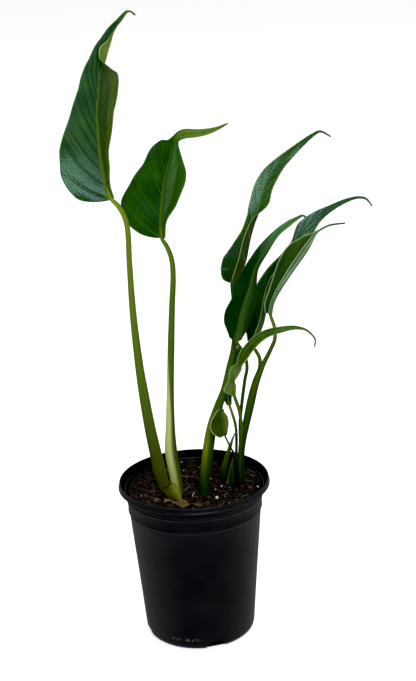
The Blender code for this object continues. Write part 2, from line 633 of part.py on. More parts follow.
def main():
    clear_scene()
    black_plastic = finish_of("black_moulded_plastic", (0.012, 0.012, 0.014), 0.42)
    mix = finish_of("bark_and_peat_mix", (0.035, 0.018, 0.01), 0.95)
    crown_tissue = finish_of("crown_tissue", (0.2, 0.17, 0.06), 0.7)
    sheath_skin = finish_of("bud_sheath", (0.14, 0.19, 0.03), 0.5)
    olive_stalk = finish_of("olive_stalk", (0.13, 0.2, 0.01), 0.4)
    pale_stalk = finish_of("pale_sheath", (0.36, 0.38, 0.12), 0.45)
    green_stalk = finish_of("green_stalk", (0.06, 0.15, 0.01), 0.4)
    dark_stalk = finish_of("dark_stalk", (0.015, 0.07, 0.01), 0.45)
    leaf_green = finish_of("leaf_green", (0.025, 0.09, 0.012), 0.35)
    leaf_olive = finish_of("leaf_olive", (0.07, 0.14, 0.01), 0.35)
    dry_paper = finish_of("dry_papery_scale", (0.16, 0.09, 0.035), 0.85)

    make_pot(black_plastic)
    make_soil(mix)
    make_crown(crown_tissue)
    make_stalk("stem_left", STEM_LEFT, olive_stalk, lengths=4)
    make_stalk("stalk_left_tall", STALK_LEFT_TALL, olive_stalk, lengths=20)
    make_stalk("stalk_left_short", STALK_LEFT_SHORT, pale_stalk, lengths=18)
    make_stalk("stalk_centre", STALK_CENTRE, green_stalk, lengths=18)
    make_stalk("stalk_front", STALK_FRONT, dark_stalk, lengths=14, sides=8)
    make_stalk("stalk_right_long", STALK_RIGHT_LONG, olive_stalk, lengths=13, sides=8)
    make_stalk("stalk_olive", STALK_OLIVE, dark_stalk, lengths=16)
    make_stalk("stalk_curled", STALK_CURLED, olive_stalk, lengths=10, sides=8)
    make_stalk("stalk_young", STALK_YOUNG, olive_stalk, lengths=8, sides=8)
    make_stalk("stalk_cup", STALK_CUP, dark_stalk, lengths=10, sides=6)
    make_stalk("bud_sheath_tall", BUD_SHEATH_TALL, sheath_skin, lengths=8, sides=12)
    make_stalk("bud_sheath_short", BUD_SHEATH_SHORT, sheath_skin, lengths=6, sides=12)

    make_blade("leaf_left_tall", LEAF_LEFT_TALL, leaf_green, lobes=(-4, -1), columns=10, lengths=34)
    make_blade("leaf_left_short", LEAF_LEFT_SHORT, leaf_green, lobes=(-4, -1), columns=10, lengths=32)
    make_blade("leaf_centre", LEAF_CENTRE, leaf_green, lobes=(10, 0), lengths=34)
    make_blade("leaf_front", LEAF_FRONT, leaf_green, lobes=(-5, -5), lengths=24)
    make_blade("leaf_right_long", LEAF_RIGHT_LONG, leaf_green, lobes=(2, 0), lengths=30)
    make_blade("leaf_olive", LEAF_OLIVE, leaf_olive, lobes=(-2, 0), lengths=24)
    make_blade("leaf_curled", LEAF_CURLED, leaf_olive, lengths=22, columns=6)
    make_blade("leaf_young", LEAF_YOUNG, leaf_green, lengths=8, columns=4, midrib=1.6)
    make_blade("leaf_cup", LEAF_CUP, leaf_green, curl=30, lengths=8, midrib=1.4)
    make_dry_scale(dry_paper)


main()
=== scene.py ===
# Potted flame monstera: waxy leaves on arching stalks, in a black nursery pot filled with bark mix.
# The dictionaries give lengths in mm. -Y faces the camera, and the pot stands on z = 0.

import math
import random

import bmesh
import bpy
from mathutils import Matrix, Vector, noise


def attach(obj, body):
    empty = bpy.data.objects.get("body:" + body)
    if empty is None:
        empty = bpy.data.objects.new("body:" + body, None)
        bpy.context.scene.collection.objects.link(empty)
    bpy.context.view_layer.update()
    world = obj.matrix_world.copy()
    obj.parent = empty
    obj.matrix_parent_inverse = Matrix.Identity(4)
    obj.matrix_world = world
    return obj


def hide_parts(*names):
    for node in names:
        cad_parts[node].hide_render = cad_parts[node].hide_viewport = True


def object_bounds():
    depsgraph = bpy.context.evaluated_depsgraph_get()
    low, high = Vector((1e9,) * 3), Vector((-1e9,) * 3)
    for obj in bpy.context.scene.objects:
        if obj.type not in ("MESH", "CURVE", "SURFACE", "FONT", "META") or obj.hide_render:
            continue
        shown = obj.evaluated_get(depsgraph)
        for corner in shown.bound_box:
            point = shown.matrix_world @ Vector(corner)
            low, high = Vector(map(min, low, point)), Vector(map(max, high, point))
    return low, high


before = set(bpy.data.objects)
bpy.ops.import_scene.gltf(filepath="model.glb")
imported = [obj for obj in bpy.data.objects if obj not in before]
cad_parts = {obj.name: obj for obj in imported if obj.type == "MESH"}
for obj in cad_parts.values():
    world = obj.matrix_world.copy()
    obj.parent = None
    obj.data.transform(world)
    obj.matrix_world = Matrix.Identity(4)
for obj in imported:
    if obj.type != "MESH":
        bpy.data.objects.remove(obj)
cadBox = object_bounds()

mm = 0.001  # a pattern's scale is written as features per mm, divided by this

# Colours, nodes and finished pieces


def linearColour(hexCode):
    channels = [int(hexCode[i:i + 2], 16) / 255 for i in (1, 3, 5)]
    return tuple(c / 12.92 if c <= 0.04045 else ((c + 0.055) / 1.055) ** 2.4 for c in channels) + (1.0,)


def feedSocket(tree, socket, value):
    if isinstance(value, bpy.types.NodeSocket):
        tree.links.new(value, socket)
    else:
        socket.default_value = linearColour(value) if isinstance(value, str) else value


def addNode(tree, kind, inputs=(), stops=(), output=None, **settings):
    node = tree.nodes.new("ShaderNode" + kind)
    for name, value in settings.items():
        setattr(node, name, value)
    # Inputs are given by name, or else in the order in which the node shows them
    shown = [socket for socket in node.inputs if socket.enabled]
    named = isinstance(inputs, dict)
    for key, value in inputs.items() if named else zip(shown, inputs):
        feedSocket(tree, node.inputs[key] if named else key, value)
    if stops:  # colour ramp: pairs of place and hex colour
        ramp = node.color_ramp
        while len(ramp.elements) < len(stops):
            ramp.elements.new(1.0)
        for element, (place, hexCode) in zip(ramp.elements, stops):
            element.position = place
            element.color = linearColour(hexCode)
    return node.outputs[output] if output else next(socket for socket in node.outputs if socket.enabled)


def startMaterial(name):
    material = bpy.data.materials.new(name)
    material.use_nodes = True
    return material, material.node_tree


def setSurface(material, surface):
    tree = material.node_tree
    for name, value in surface.items():
        feedSocket(tree, tree.nodes["Principled BSDF"].inputs[name], value)
    return material


def addObject(name, data):
    item = bpy.data.objects.new(name, data)
    bpy.context.scene.collection.objects.link(item)
    return item


def finishMesh(name, maker, materials=()):
    mesh = bpy.data.meshes.new(name)
    maker.to_mesh(mesh)
    maker.free()
    for material in materials:
        mesh.materials.append(material)
    return mesh


def finishPiece(name, maker, materials, slotName, replaced=None, sharpAngle=None):
    mesh = finishMesh(name, maker, materials)
    mesh.shade_smooth()
    if sharpAngle:
        mesh.set_sharp_from_angle(angle=math.radians(sharpAngle))
    piece = addObject(name, mesh)
    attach(piece, "root")
    if replaced:
        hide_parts(replaced)
    return piece


# Camera: solved from the pot's mouth, wall and foot

view = {
    "place": (0.0169, -1.1894, 0.6619),  # metres
    "pitch": 18.79,
    "roll": 2.59,
    "lens": 82.15,
}


def makeCamera():
    pitch, roll = math.radians(view["pitch"]), math.radians(view["roll"])
    ahead = Vector((0, math.cos(pitch), -math.sin(pitch)))
    level = Vector((1, 0, 0))
    upright = level.cross(ahead)
    right = level * math.cos(roll) - upright * math.sin(roll)
    up = level * math.sin(roll) + upright * math.cos(roll)
    camera = addObject("camera", bpy.data.cameras.new("camera"))
    camera.data.lens = view["lens"]
    camera.data.sensor_width = 36
    camera.data.clip_start = 0.05
    turn = Matrix((right, up, -ahead)).transposed().to_4x4()
    camera.matrix_world = Matrix.Translation(view["place"]) @ turn
    bpy.context.scene.camera = camera


makeCamera()
print("camera set")

# Studio: a pale floor, a large soft light in front, one above and behind, and a weak fill on each side

studio = {
    "floorHex": "#f4f3f1",
    "floorSize": 24.0,
    "floorGlow": 0.48,
    "lights": [  # name, place, aim, width, height, watts, hex
        ("keyLight", (0.35, -1.85, 1.62), (-0.02, 0, 0.38), 1.7, 0.7, 46.0, "#e4f4ff"),
        ("topLight", (0.25, 0.5, 2.3), (0.02, 0, 0.3), 1.6, 1.4, 16.0, "#fbfcff"),
        ("rightFill", (2.0, -0.5, 1.0), (0.0, 0, 0.25), 1.0, 1.4, 6.0, "#fff6ea"),
        ("leftFill", (-1.9, -0.9, 1.1), (0.0, 0, 0.25), 0.6, 1.4, 7.0, "#f1f7ff"),
    ],
    "skyStrength": 0.75,
    "sky": [(0.0, "#4a4a4e"), (1.0, "#ffffff")],  # from the dark room in front to the pale wall behind
    "blackLevel": 0.006,
}


def makeStudio():
    # Seamless studio paper: matte, with no gloss at all, and a glow that keeps it white under the soft light
    paper = setSurface(startMaterial("matteStudioPaper")[0], {
        "Base Color": studio["floorHex"], "Roughness": 0.95, "Specular IOR Level": 0.0,
        "Emission Strength": studio["floorGlow"]})
    maker = bmesh.new()
    bmesh.ops.create_grid(maker, x_segments=1, y_segments=1, size=studio["floorSize"] / 2)
    floor = addObject("paleFloor", finishMesh("paleFloor", maker, [paper]))
    floor.visible_glossy = False  # the room around the leaves is dark: only the lamps shine in their wax
    for name, place, aim, width, height, watts, hexCode in studio["lights"]:
        data = bpy.data.lights.new(name, "AREA")
        data.shape = "RECTANGLE"
        data.size, data.size_y = width, height
        data.energy = watts
        data.color = linearColour(hexCode)[:3]
        light = addObject(name, data)
        light.visible_glossy = name != "leftFill"
        light.location = place
        light.rotation_mode = "QUATERNION"
        light.rotation_quaternion = (Vector(aim) - Vector(place)).to_track_quat("-Z", "Y")
    world = bpy.data.worlds.new("softSky")
    bpy.context.scene.world = world
    world.use_nodes = True
    tree = world.node_tree
    toward = addNode(tree, "TexCoord", output="Generated")
    depth = addNode(tree, "MapRange", (addNode(tree, "SeparateXYZ", (toward,), output="Y"), -0.75, 0.2))
    background = tree.nodes["Background"]
    feedSocket(tree, background.inputs["Color"], addNode(tree, "ValToRGB", (depth,), studio["sky"]))
    feedSocket(tree, background.inputs["Strength"], studio["skyStrength"])
    world.cycles_visibility.glossy = False
    grading = bpy.context.scene.view_settings
    grading.view_transform = "Standard"
    grading.use_curve_mapping = True
    grading.curve_mapping.black_level = [studio["blackLevel"]] * 3
    grading.curve_mapping.update()


makeStudio()
print("studio set")

# Leaf skins. Every blade carries these attributes for its patterns, in mm along its own surface: lead, where
# the side vein through this point leaves the midrib; out, the signed distance from the midrib; reach, 0 at
# the midrib and 1 at the margin; rib, the distance from the midrib in widths of the midrib; edge, the
# distance to the margin.

bladeLayers = ("lead", "out", "reach", "rib", "edge")

# Upper face of an aroid leaf: a thick waxy cuticle over green tissue, so it is dark and saturated head on and
# takes a broad cool sheen from the light, with sunken side veins and a paler midrib. Each leaf adds its own
# greens.
upperSkin = {
    "margin": "#4f7a30", "marginShare": 0.4,
    "rightBands": [(0.0, "#26400f"), (1.0, "#26400f")], "rightShare": 0.0,
    "veinShare": 0.35, "fineShare": 0.12, "roughness": 0.36, "specular": 0.4, "shine": "#d4f2ee",
    "streakBump": 0.2, "veinBump": 0.35, "grainBump": 0.3,
    "zones": [],  # hex, where along the blade it is full and where it is gone, in mm
    "dulls": 0.0,  # roughness gained over the first 30 mm along the blade
}
# Underside: thin cuticle with no wax gloss, so it is paler, greyer and flatter
lowerSkin = {
    "deep": "#4c6a22", "middle": "#5f7f2e", "pale": "#7c9648", "vein": "#86a04c", "midrib": "#8ba03a",
    "margin": "#9ab05c", "marginShare": 0.75,
    "rightBands": [(0.0, "#4c6a22"), (1.0, "#4c6a22")], "rightShare": 0.0,
    "veinSpacing": 19.0, "veinShare": 0.4, "fineShare": 0.15, "roughness": 0.55, "specular": 0.2,
    "shine": "#ffffff", "streakBump": 0.1, "veinBump": -0.4, "grainBump": 0.05, "zones": [], "dulls": 0.0,
}


def makeLeafSkin(name, look):
    material, tree = startMaterial(name)
    lead, out, reach, rib, edge = (
        addNode(tree, "Attribute", output="Fac", attribute_name=key) for key in bladeLayers)
    place = addNode(tree, "TexCoord", output="Object")
    # Streaks run with the side veins, about 2 mm apart; blotches are 15 to 25 mm across
    across = addNode(tree, "Math", (lead, 0.55), operation="MULTIPLY")
    lengthwise = addNode(tree, "Math", (out, 0.05), operation="MULTIPLY")
    streaks = addNode(tree, "TexNoise", (addNode(tree, "CombineXYZ", (across, lengthwise)), 1.0, 4.0))
    blotches = addNode(tree, "TexNoise", (place, 0.055 / mm, 3.0))
    tone = addNode(tree, "Mix", (0.5, streaks, blotches), data_type="FLOAT")
    greens = [(0.36, look["deep"]), (0.52, look["middle"]), (0.74, look["pale"])]
    body = addNode(tree, "ValToRGB", (tone,), greens)
    # The right half turns another way, so light falls on it differently: its bands beside the midrib are
    # partly its own tints and partly painted sheen and shade, with fibres along them
    sideStep = addNode(tree, "Math", (out, 0.9), operation="MULTIPLY")
    slowStep = addNode(tree, "Math", (lead, 0.03), operation="MULTIPLY")
    bandNoise = addNode(tree, "TexNoise", (addNode(tree, "CombineXYZ", (sideStep, slowStep)), 1.0, 4.0))
    shift = addNode(tree, "MapRange", (bandNoise, 0.3, 0.7, -0.16, 0.16))
    bandAt = addNode(tree, "Math", (reach, shift), operation="ADD")
    bands = addNode(tree, "ValToRGB", (bandAt,), look["rightBands"])
    onRight = addNode(tree, "MapRange", (out, 0.0, 2.0, 0.0, look["rightShare"]))
    tintsAndShading = [(onRight, bands)]
    # Zones along the blade: some are the leaf's own colour, and some are painted shade and painted sheen
    for hexCode, full, gone in look["zones"]:
        tintsAndShading.append((addNode(tree, "MapRange", (lead, full, gone, 0.9, 0.0)), hexCode))
    # Main side veins, 2 mm wide, and the six finer ones between each two
    toVein = addNode(tree, "Math", (lead, look["veinSpacing"] / 2), operation="PINGPONG")
    vein = addNode(tree, "MapRange", (toVein, 0.2, 1.1, 1.0, 0.0), interpolation_type="SMOOTHSTEP")
    fading = addNode(tree, "MapRange", (reach, 0.35, 0.95, 1.0, 0.1))
    vein = addNode(tree, "Math", (vein, fading), operation="MULTIPLY")
    toFine = addNode(tree, "Math", (lead, look["veinSpacing"] / 14), operation="PINGPONG")
    fine = addNode(tree, "MapRange", (toFine, 0.0, 0.5, 1.0, 0.0))
    veinShare = addNode(tree, "Math", (vein, look["veinShare"]), operation="MULTIPLY")
    fineShare = addNode(tree, "Math", (fine, look["fineShare"]), operation="MULTIPLY")
    lines = addNode(tree, "Math", (veinShare, fineShare), operation="MAXIMUM")
    onRib = addNode(tree, "MapRange", (rib, 0.7, 1.25, 0.9, 0.0), interpolation_type="SMOOTHSTEP")
    onMargin = addNode(tree, "MapRange", (edge, 0.3, 0.8, look["marginShare"], 0.0))
    for share, tint in tintsAndShading + [(lines, look["vein"]), (onRib, look["midrib"]), (onMargin, look["margin"])]:
        body = addNode(tree, "Mix", (share, body, tint), data_type="RGBA")
    gloss = addNode(tree, "MapRange", (tone, 0.3, 0.7, look["roughness"] - 0.05, look["roughness"] + 0.07))
    gloss = addNode(tree, "Math", (onRib, 0.35, gloss), operation="MULTIPLY_ADD")
    dull = addNode(tree, "MapRange", (lead, 0.0, 30.0, 0.0, look["dulls"]))
    gloss = addNode(tree, "Math", (gloss, dull), operation="ADD")
    # The cuticle's grain is far finer than a pixel, so it is drawn about 1 mm wide
    sunk = addNode(tree, "Math", (vein, -look["veinBump"]), operation="MULTIPLY")
    ridged = addNode(tree, "Math", (streaks, look["streakBump"], sunk), operation="MULTIPLY_ADD")
    grain = addNode(tree, "TexNoise", (place, 1.1 / mm, 2.0))
    ridged = addNode(tree, "Math", (grain, look["grainBump"], ridged), operation="MULTIPLY_ADD")
    relief = addNode(tree, "Bump", {"Height": ridged, "Strength": 0.6, "Distance": 1.6 * mm})
    return setSurface(material, {"Base Color": body, "Roughness": gloss, "Normal": relief,
                                 "Specular IOR Level": look["specular"], "Specular Tint": look["shine"]})


# Smooth routes. A route is rows of numbers that begin with x, y, z.


def sharesOf(rows):
    shares = [0.0]
    for before, after in zip(rows, rows[1:]):
        shares.append(shares[-1] + (Vector(after[:3]) - Vector(before[:3])).length)
    return [share / shares[-1] for share in shares], shares[-1]


def rowAt(rows, shares, share):
    last = len(rows) - 1
    index = max(i for i in range(last) if shares[i] <= share or i == 0)
    span = shares[index + 1] - shares[index]
    s = (share - shares[index]) / span
    values = []
    for column in range(len(rows[0])):
        start, end = rows[index][column], rows[index + 1][column]
        slopes = []
        for i in (index, index + 1):
            low, high = max(i - 1, 0), min(i + 1, last)
            slopes.append((rows[high][column] - rows[low][column]) / (shares[high] - shares[low]) * span)
        bend = (2 * start + slopes[0] - 2 * end + slopes[1]) * s**3
        bend += (3 * end - 3 * start - 2 * slopes[0] - slopes[1]) * s**2
        values.append(bend + slopes[0] * s + start)
    return values


def frameAt(rows, shares, share):
    before = Vector(rowAt(rows, shares, max(share - 0.004, 0.0))[:3])
    after = Vector(rowAt(rows, shares, min(share + 0.004, 1.0))[:3])
    along = (after - before).normalized()
    sideways = Vector((0, 1, 0)).cross(along).normalized()
    return along, sideways, sideways.cross(along)


# Blades. A row is x, y, z of the midrib, left half width, left tilt, right half width, right tilt. A tilt
# turns that half towards the viewer, in degrees.

bladeForm = {
    "lobes": (0, 0),  # how far each half's base lies behind the midrib's start, or with a minus sign ahead
    "lobeShare": 0.24,  # share of the length over which the lobes pass into the margin
    "curl": (0, 0),  # degrees that each half turns further on its way from the midrib to the margin
    "columns": 44,
    "leastWidth": 0.4, "fullWidth": 12,  # half widths: the least, and where lobes and waves are full-sized
    "thickness": 0.5, "ribThickness": 1.7, "clearance": 0.1,
    "ribTip": 0.12,  # share that is left at the tip of ribWidth, the midrib's half width at the base
    "veinFan": 0.02, "veinBend": 0.012, "ribDepth": 0.3, "grooveWidth": 0.9,
    "waves": 0.6, "waveLength": 42.0, "waveLag": 2.1,
    "crease": 0.14,  # share of the half width over which the blade turns out of the midrib
    "upper": {}, "lower": {},  # what its two skins change in upperSkin and lowerSkin
}


def crossSection(width, tilt, curl, crease, reach):
    steps = 10
    out, lift = 0.0, 0.0
    for number in range(steps):
        at = reach * (number + 0.5) / steps
        opened = min(at / crease, 1.0)
        turn = math.radians((tilt + curl * (at - 0.5)) * opened * opened * (3 - 2 * opened))
        out += math.cos(turn) * width * reach / steps
        lift += math.sin(turn) * width * reach / steps
    return out, lift


# Relief on the upper face: a channel along the midrib, sunken side veins, soft swells between them, and waves
def bladeRelief(form, width, reach, ribHalf, lead, share, length, index):
    away, spacing = width * reach, form["veinSpacing"]
    toVein = abs((lead / spacing + 0.5) % 1.0 - 0.5) * spacing
    inBlade = min(reach * 4, 1.0) * min((1 - reach) * 3, 1.0) * min(width / 9, 1.0)
    relief = -form["ribDepth"] * math.exp(-(away / max(ribHalf, 0.5)) ** 2) * min(width / 6, 1.0)
    relief -= form["grooveDepth"] * math.exp(-(toVein / form["grooveWidth"]) ** 2) * inBlade
    relief += form["pillow"] * (0.5 - 0.5 * math.cos(math.tau * lead / spacing)) * inBlade
    phase = math.tau * share * length / form["waveLength"] + index * form["waveLag"]
    wave = form["waves"] * math.sin(phase) * reach**2 * min(width / form["fullWidth"], 1.0)
    return relief + wave * min(share * 6, (1 - share) * 4, 1.0)


def makeBlade(name, leaf):
    form = {**bladeForm, **leaf}
    rows, thin, thick = form["rows"], form["thickness"], form["ribThickness"]
    shares, length = sharesOf(rows)
    maker = bmesh.new()
    bmesh.ops.create_grid(maker, x_segments=form["columns"], y_segments=form["lengths"], size=1.0)
    layers = [maker.verts.layers.float.new(key) for key in bladeLayers]
    stations, lifts, weights = {}, {}, {}
    for vert in maker.verts:
        across, share = vert.co.x, (vert.co.y + 1) / 2
        key = round(share, 6)
        if key not in stations:
            stations[key] = (rowAt(rows, shares, share), frameAt(rows, shares, share))
        (x, y, z, left, leftTilt, right, rightTilt), (along, sideways, facing) = stations[key]
        index, side = (1, 1) if across > 0 else (0, -1)
        width, tilt = ((left, leftTilt), (right, rightTilt))[index]
        width, reach = max(width, form["leastWidth"]), abs(across)
        # A blade that is turned right over has no fold at its midrib
        turned = min(min(abs(leftTilt), abs(rightTilt)) / 90, 1.0)
        crease = form["crease"] * (1 - turned) + 0.001
        out, lift = crossSection(width, tilt, form["curl"][index], crease, reach)
        full, nearBase = min(width / form["fullWidth"], 1.0), max(0.0, 1 - share / form["lobeShare"])
        place = Vector((x, y, z)) + sideways * (side * out) + facing * lift
        vert.co = (place - along * form["lobes"][index] * reach**2 * full * nearBase**2) * mm
        ribHalf = form["ribWidth"] * (form["ribTip"] + (1 - form["ribTip"]) * (1 - share) ** 4)
        away = width * reach
        lead = share * length - form["veinStart"][index] * away - form["veinBend"] * away**2
        lead /= 1 + form["veinFan"] * away
        edge = width * (1 - reach) + max(0.0, 1.2 - 0.3 * width)  # the narrow tip counts as having no margin
        for layer, value in zip(layers, (lead, away * side, reach, away / ribHalf, edge)):
            vert[layer] = value
        lifts[vert] = bladeRelief(form, width, reach, ribHalf, lead, share, length, index)
        onRib = math.exp(-(away / max(ribHalf, 0.4)) ** 2) * (1 - share) ** 0.8
        weights[vert.index] = (thin + (thick - thin) * onRib) / thick
    maker.normal_update()
    moved = {vert: vert.co + vert.normal * lift * mm for vert, lift in lifts.items()}
    # The blade's body may grow towards either side, so its face keeps that far inside the size of the part
    inset = Vector((1, 1, 1)) * (thin + form["clearance"]) * mm
    low, high = Vector(cadBox[0]) + inset, Vector(cadBox[1]) - inset
    for vert, place in moved.items():
        vert.co = [min(max(at, least), most) for at, least, most in zip(place, low, high)]
    upper = {**upperSkin, "veinSpacing": form["veinSpacing"], **form["upper"]}
    skins = [makeLeafSkin(name + "WaxyUpper", upper),
             makeLeafSkin(name + "MatteUnder", {**lowerSkin, **form["lower"]})]
    piece = finishPiece(name, maker, skins, form["slot"], form["replaces"])
    group = piece.vertex_groups.new(name="thickness")
    for index, weight in weights.items():
        group.add([index], weight, "REPLACE")
    body = piece.modifiers.new("bladeBody", "SOLIDIFY")
    body.thickness = thick * mm
    body.offset = -1
    body.vertex_group = group.name
    body.material_offset = 1


# Stalks. A row is x, y, z, width, depth, and how deep the channel in the face is.

stalkForm = {"sides": 20, "lengths": 70, "crowding": 1.3}
stalkLayers = ("side", "front", "length")

# Skin of a leaf stalk: smooth and satin, with fine lengthwise fibres, and a sheath of its own colour where
# one wraps its foot. Its right side is painted with shading: darker where the light falls off, and lighter on
# the crown stem.
stalkSkin = {
    "rightSideShading": "#223600", "rightShare": 0.5,
    "sheath": None,  # hex, heights of foot, widest part and tip, and how far right its edge lies at these two
    "footFade": 28,
    "fibres": "#707e1c", "fibreShare": 0.12, "roughness": 0.36, "specular": 0.2,
}


def makeStalkSkin(name, look, low, high):
    look = {**stalkSkin, **look}
    material, tree = startMaterial(name)
    side, front, lengthwise = (
        addNode(tree, "Attribute", output="Fac", attribute_name=key) for key in stalkLayers)
    height = addNode(tree, "SeparateXYZ", (addNode(tree, "TexCoord", output="Object"),), output="Z")
    share = addNode(tree, "MapRange", (height, low * mm, high * mm))
    body = addNode(tree, "ValToRGB", (share,), look["stops"])
    # Painted shading: the right side is darker where the light falls off it, and lighter on the crown stem
    onRight = addNode(tree, "MapRange", (side, -0.1, 0.9, 0.0, look["rightShare"]),
                      interpolation_type="SMOOTHSTEP")
    tintsAndShading = [(onRight, look["rightSideShading"])]
    if look["sheath"]:
        sheathHex, footZ, wideZ, tipZ, wideEdge, tipEdge = look["sheath"]
        edge = addNode(tree, "MapRange", (height, wideZ * mm, tipZ * mm, wideEdge, tipEdge))
        past = addNode(tree, "Math", (side, edge), operation="SUBTRACT")
        onSheath = addNode(tree, "MapRange", (past, -0.5, 0.35, 1.0, 0.0), interpolation_type="SMOOTHSTEP")
        facingUs = addNode(tree, "MapRange", (front, -0.8, -0.3))
        aboveFoot = addNode(tree, "MapRange", (height, footZ * mm, (footZ + look["footFade"]) * mm))
        for limit in (facingUs, aboveFoot):
            onSheath = addNode(tree, "Math", (onSheath, limit), operation="MULTIPLY")
        tintsAndShading.append((onSheath, sheathHex))
    # Fibres 0.5 to 1 mm apart that run the whole length
    along = addNode(tree, "Math", (lengthwise, 0.03), operation="MULTIPLY")
    fibres = addNode(tree, "TexNoise", (addNode(tree, "CombineXYZ", (side, front, along)), 4.5, 4.0))
    tintsAndShading.append((addNode(tree, "MapRange", (fibres, 0.5, 0.72, 0.0, look["fibreShare"])), look["fibres"]))
    for share, tint in tintsAndShading:
        body = addNode(tree, "Mix", (share, body, tint), data_type="RGBA")
    gloss = addNode(tree, "MapRange", (fibres, 0.3, 0.7, look["roughness"], look["roughness"] + 0.1))
    relief = addNode(tree, "Bump", {"Height": fibres, "Strength": 0.35, "Distance": 0.5 * mm})
    return setSurface(material, {"Base Color": body, "Roughness": gloss, "Normal": relief,
                                 "Specular IOR Level": look["specular"]})


def makeStalk(name, stalk):
    form = {**stalkForm, **stalk}
    rows = list(form["rows"])
    if "leaf" in form:  # the stalk runs on into the leaf as its midrib and fades out there
        start, second = form["leaf"]["rows"][:2]
        width, depth = rows[-1][3:5]
        rows[-1] = (*[(a + b) / 2 for a, b in zip(rows[-1][:3], start)], width, depth, 0)
        for share, keep in ((0.5, 0.75), (1.0, 0.3)):
            place = [a + (b - a) * share for a, b in zip(start[:3], second)]
            place[1] += depth * 0.3
            rows.append((*place, width * keep, depth * keep, 0))
    shares, length = sharesOf(rows)
    maker = bmesh.new()
    bmesh.ops.create_cone(maker, cap_ends=True, segments=form["sides"], radius1=1, radius2=1, depth=1)
    longEdges = [edge for edge in maker.edges if abs(edge.verts[0].co.z - edge.verts[1].co.z) > 0.5]
    bmesh.ops.subdivide_edges(maker, edges=longEdges, cuts=form["lengths"] - 1, use_grid_fill=True)
    layers = [maker.verts.layers.float.new(key) for key in stalkLayers]
    stations = {}
    for vert in maker.verts:
        angle = math.atan2(vert.co.y, vert.co.x)
        share = 1 - min(max(0.5 - vert.co.z, 0.0), 1.0) ** form["crowding"]
        key = round(share, 6)
        if key not in stations:
            stations[key] = (rowAt(rows, shares, share), frameAt(rows, shares, share))
        (x, y, z, width, depth, channel), (along, sideways, facing) = stations[key]
        pull = 1 - channel * max(-math.sin(angle), 0.0) ** 4
        for layer, value in zip(layers, (math.cos(angle), -math.sin(angle), share * length)):
            vert[layer] = value
        place = Vector((x, y, z)) + sideways * (math.cos(angle) * width / 2 * pull)
        vert.co = (place - facing * (math.sin(angle) * depth / 2 * pull)) * mm
    heights = [row[2] for row in rows]
    skin = makeStalkSkin(name + "Skin", form["look"], min(heights), max(heights))
    finishPiece(name, maker, [skin], form["slot"], form["replaces"], 50)


# Pot: injection-moulded black polypropylene, so it is near black with a satin skin, faint upright flow marks,
# a little dust and a patch of dried mud low in front. Radius and height pairs run from the underside up the
# wall and back inside.

pot = {
    "outside": [(0, 0), (20, 0), (36, 0), (40, 0), (41.7, 0.2), (43.2, 0.9), (44.6, 2.1), (45.6, 3.8),
                (46.1, 6.0), (47.3, 20), (50.0, 52), (53.0, 86), (55.1, 110.6), (55.4, 111.4), (55.9, 111.8),
                (56.15, 112.4), (56.1, 113.0), (55.85, 113.5), (56.6, 122.4), (56.9, 123.2), (57.4, 123.6),
                (57.65, 124.2), (57.6, 124.8), (57.35, 125.3), (58.5, 131.4), (61.2, 131.7), (62.7, 131.95),
                (63.15, 132.4), (63.15, 132.9), (62.8, 133.3), (62.5, 133.8), (62.4, 136.5), (62.2, 136.85),
                (61.9, 136.95), (61.5, 136.95)],
    "inside": [(61.0, 136.7), (60.5, 136.1), (60.1, 135.0), (58.0, 131.0), (57.4, 130.0), (55.8, 129.0),
               (55.5, 128.2), (54.5, 119), (48.7, 52), (44.7, 8), (41.6, 3.5), (38, 2.05), (0, 2.05)],
    "turns": 144,
    "ledge": 130.5,  # height of the ledge that the rim of the next pot rests on
    "notches": {"count": 4, "turn": 16.0, "width": 21.0, "height": 7.0, "radius": 46.0, "depth": 12.0,
                "below": 2.0, "narrowing": 0.5},
    "mud": {"place": (-13.5, -45.5, 10.25), "flatness": 8, "full": 8, "gone": 14, "hex": "#8d8464"},
}


def spinProfile(maker, profile, turns):
    verts = [maker.verts.new((radius * mm, 0, height * mm)) for radius, height in profile]
    edges = [maker.edges.new(pair) for pair in zip(verts, verts[1:])]
    bmesh.ops.spin(maker, geom=verts + edges, cent=(0, 0, 0), axis=(0, 0, 1), angle=math.tau, steps=turns,
                   use_merge=True)
    bmesh.ops.remove_doubles(maker, verts=maker.verts, dist=0.00001)
    bmesh.ops.recalc_face_normals(maker, faces=maker.faces)


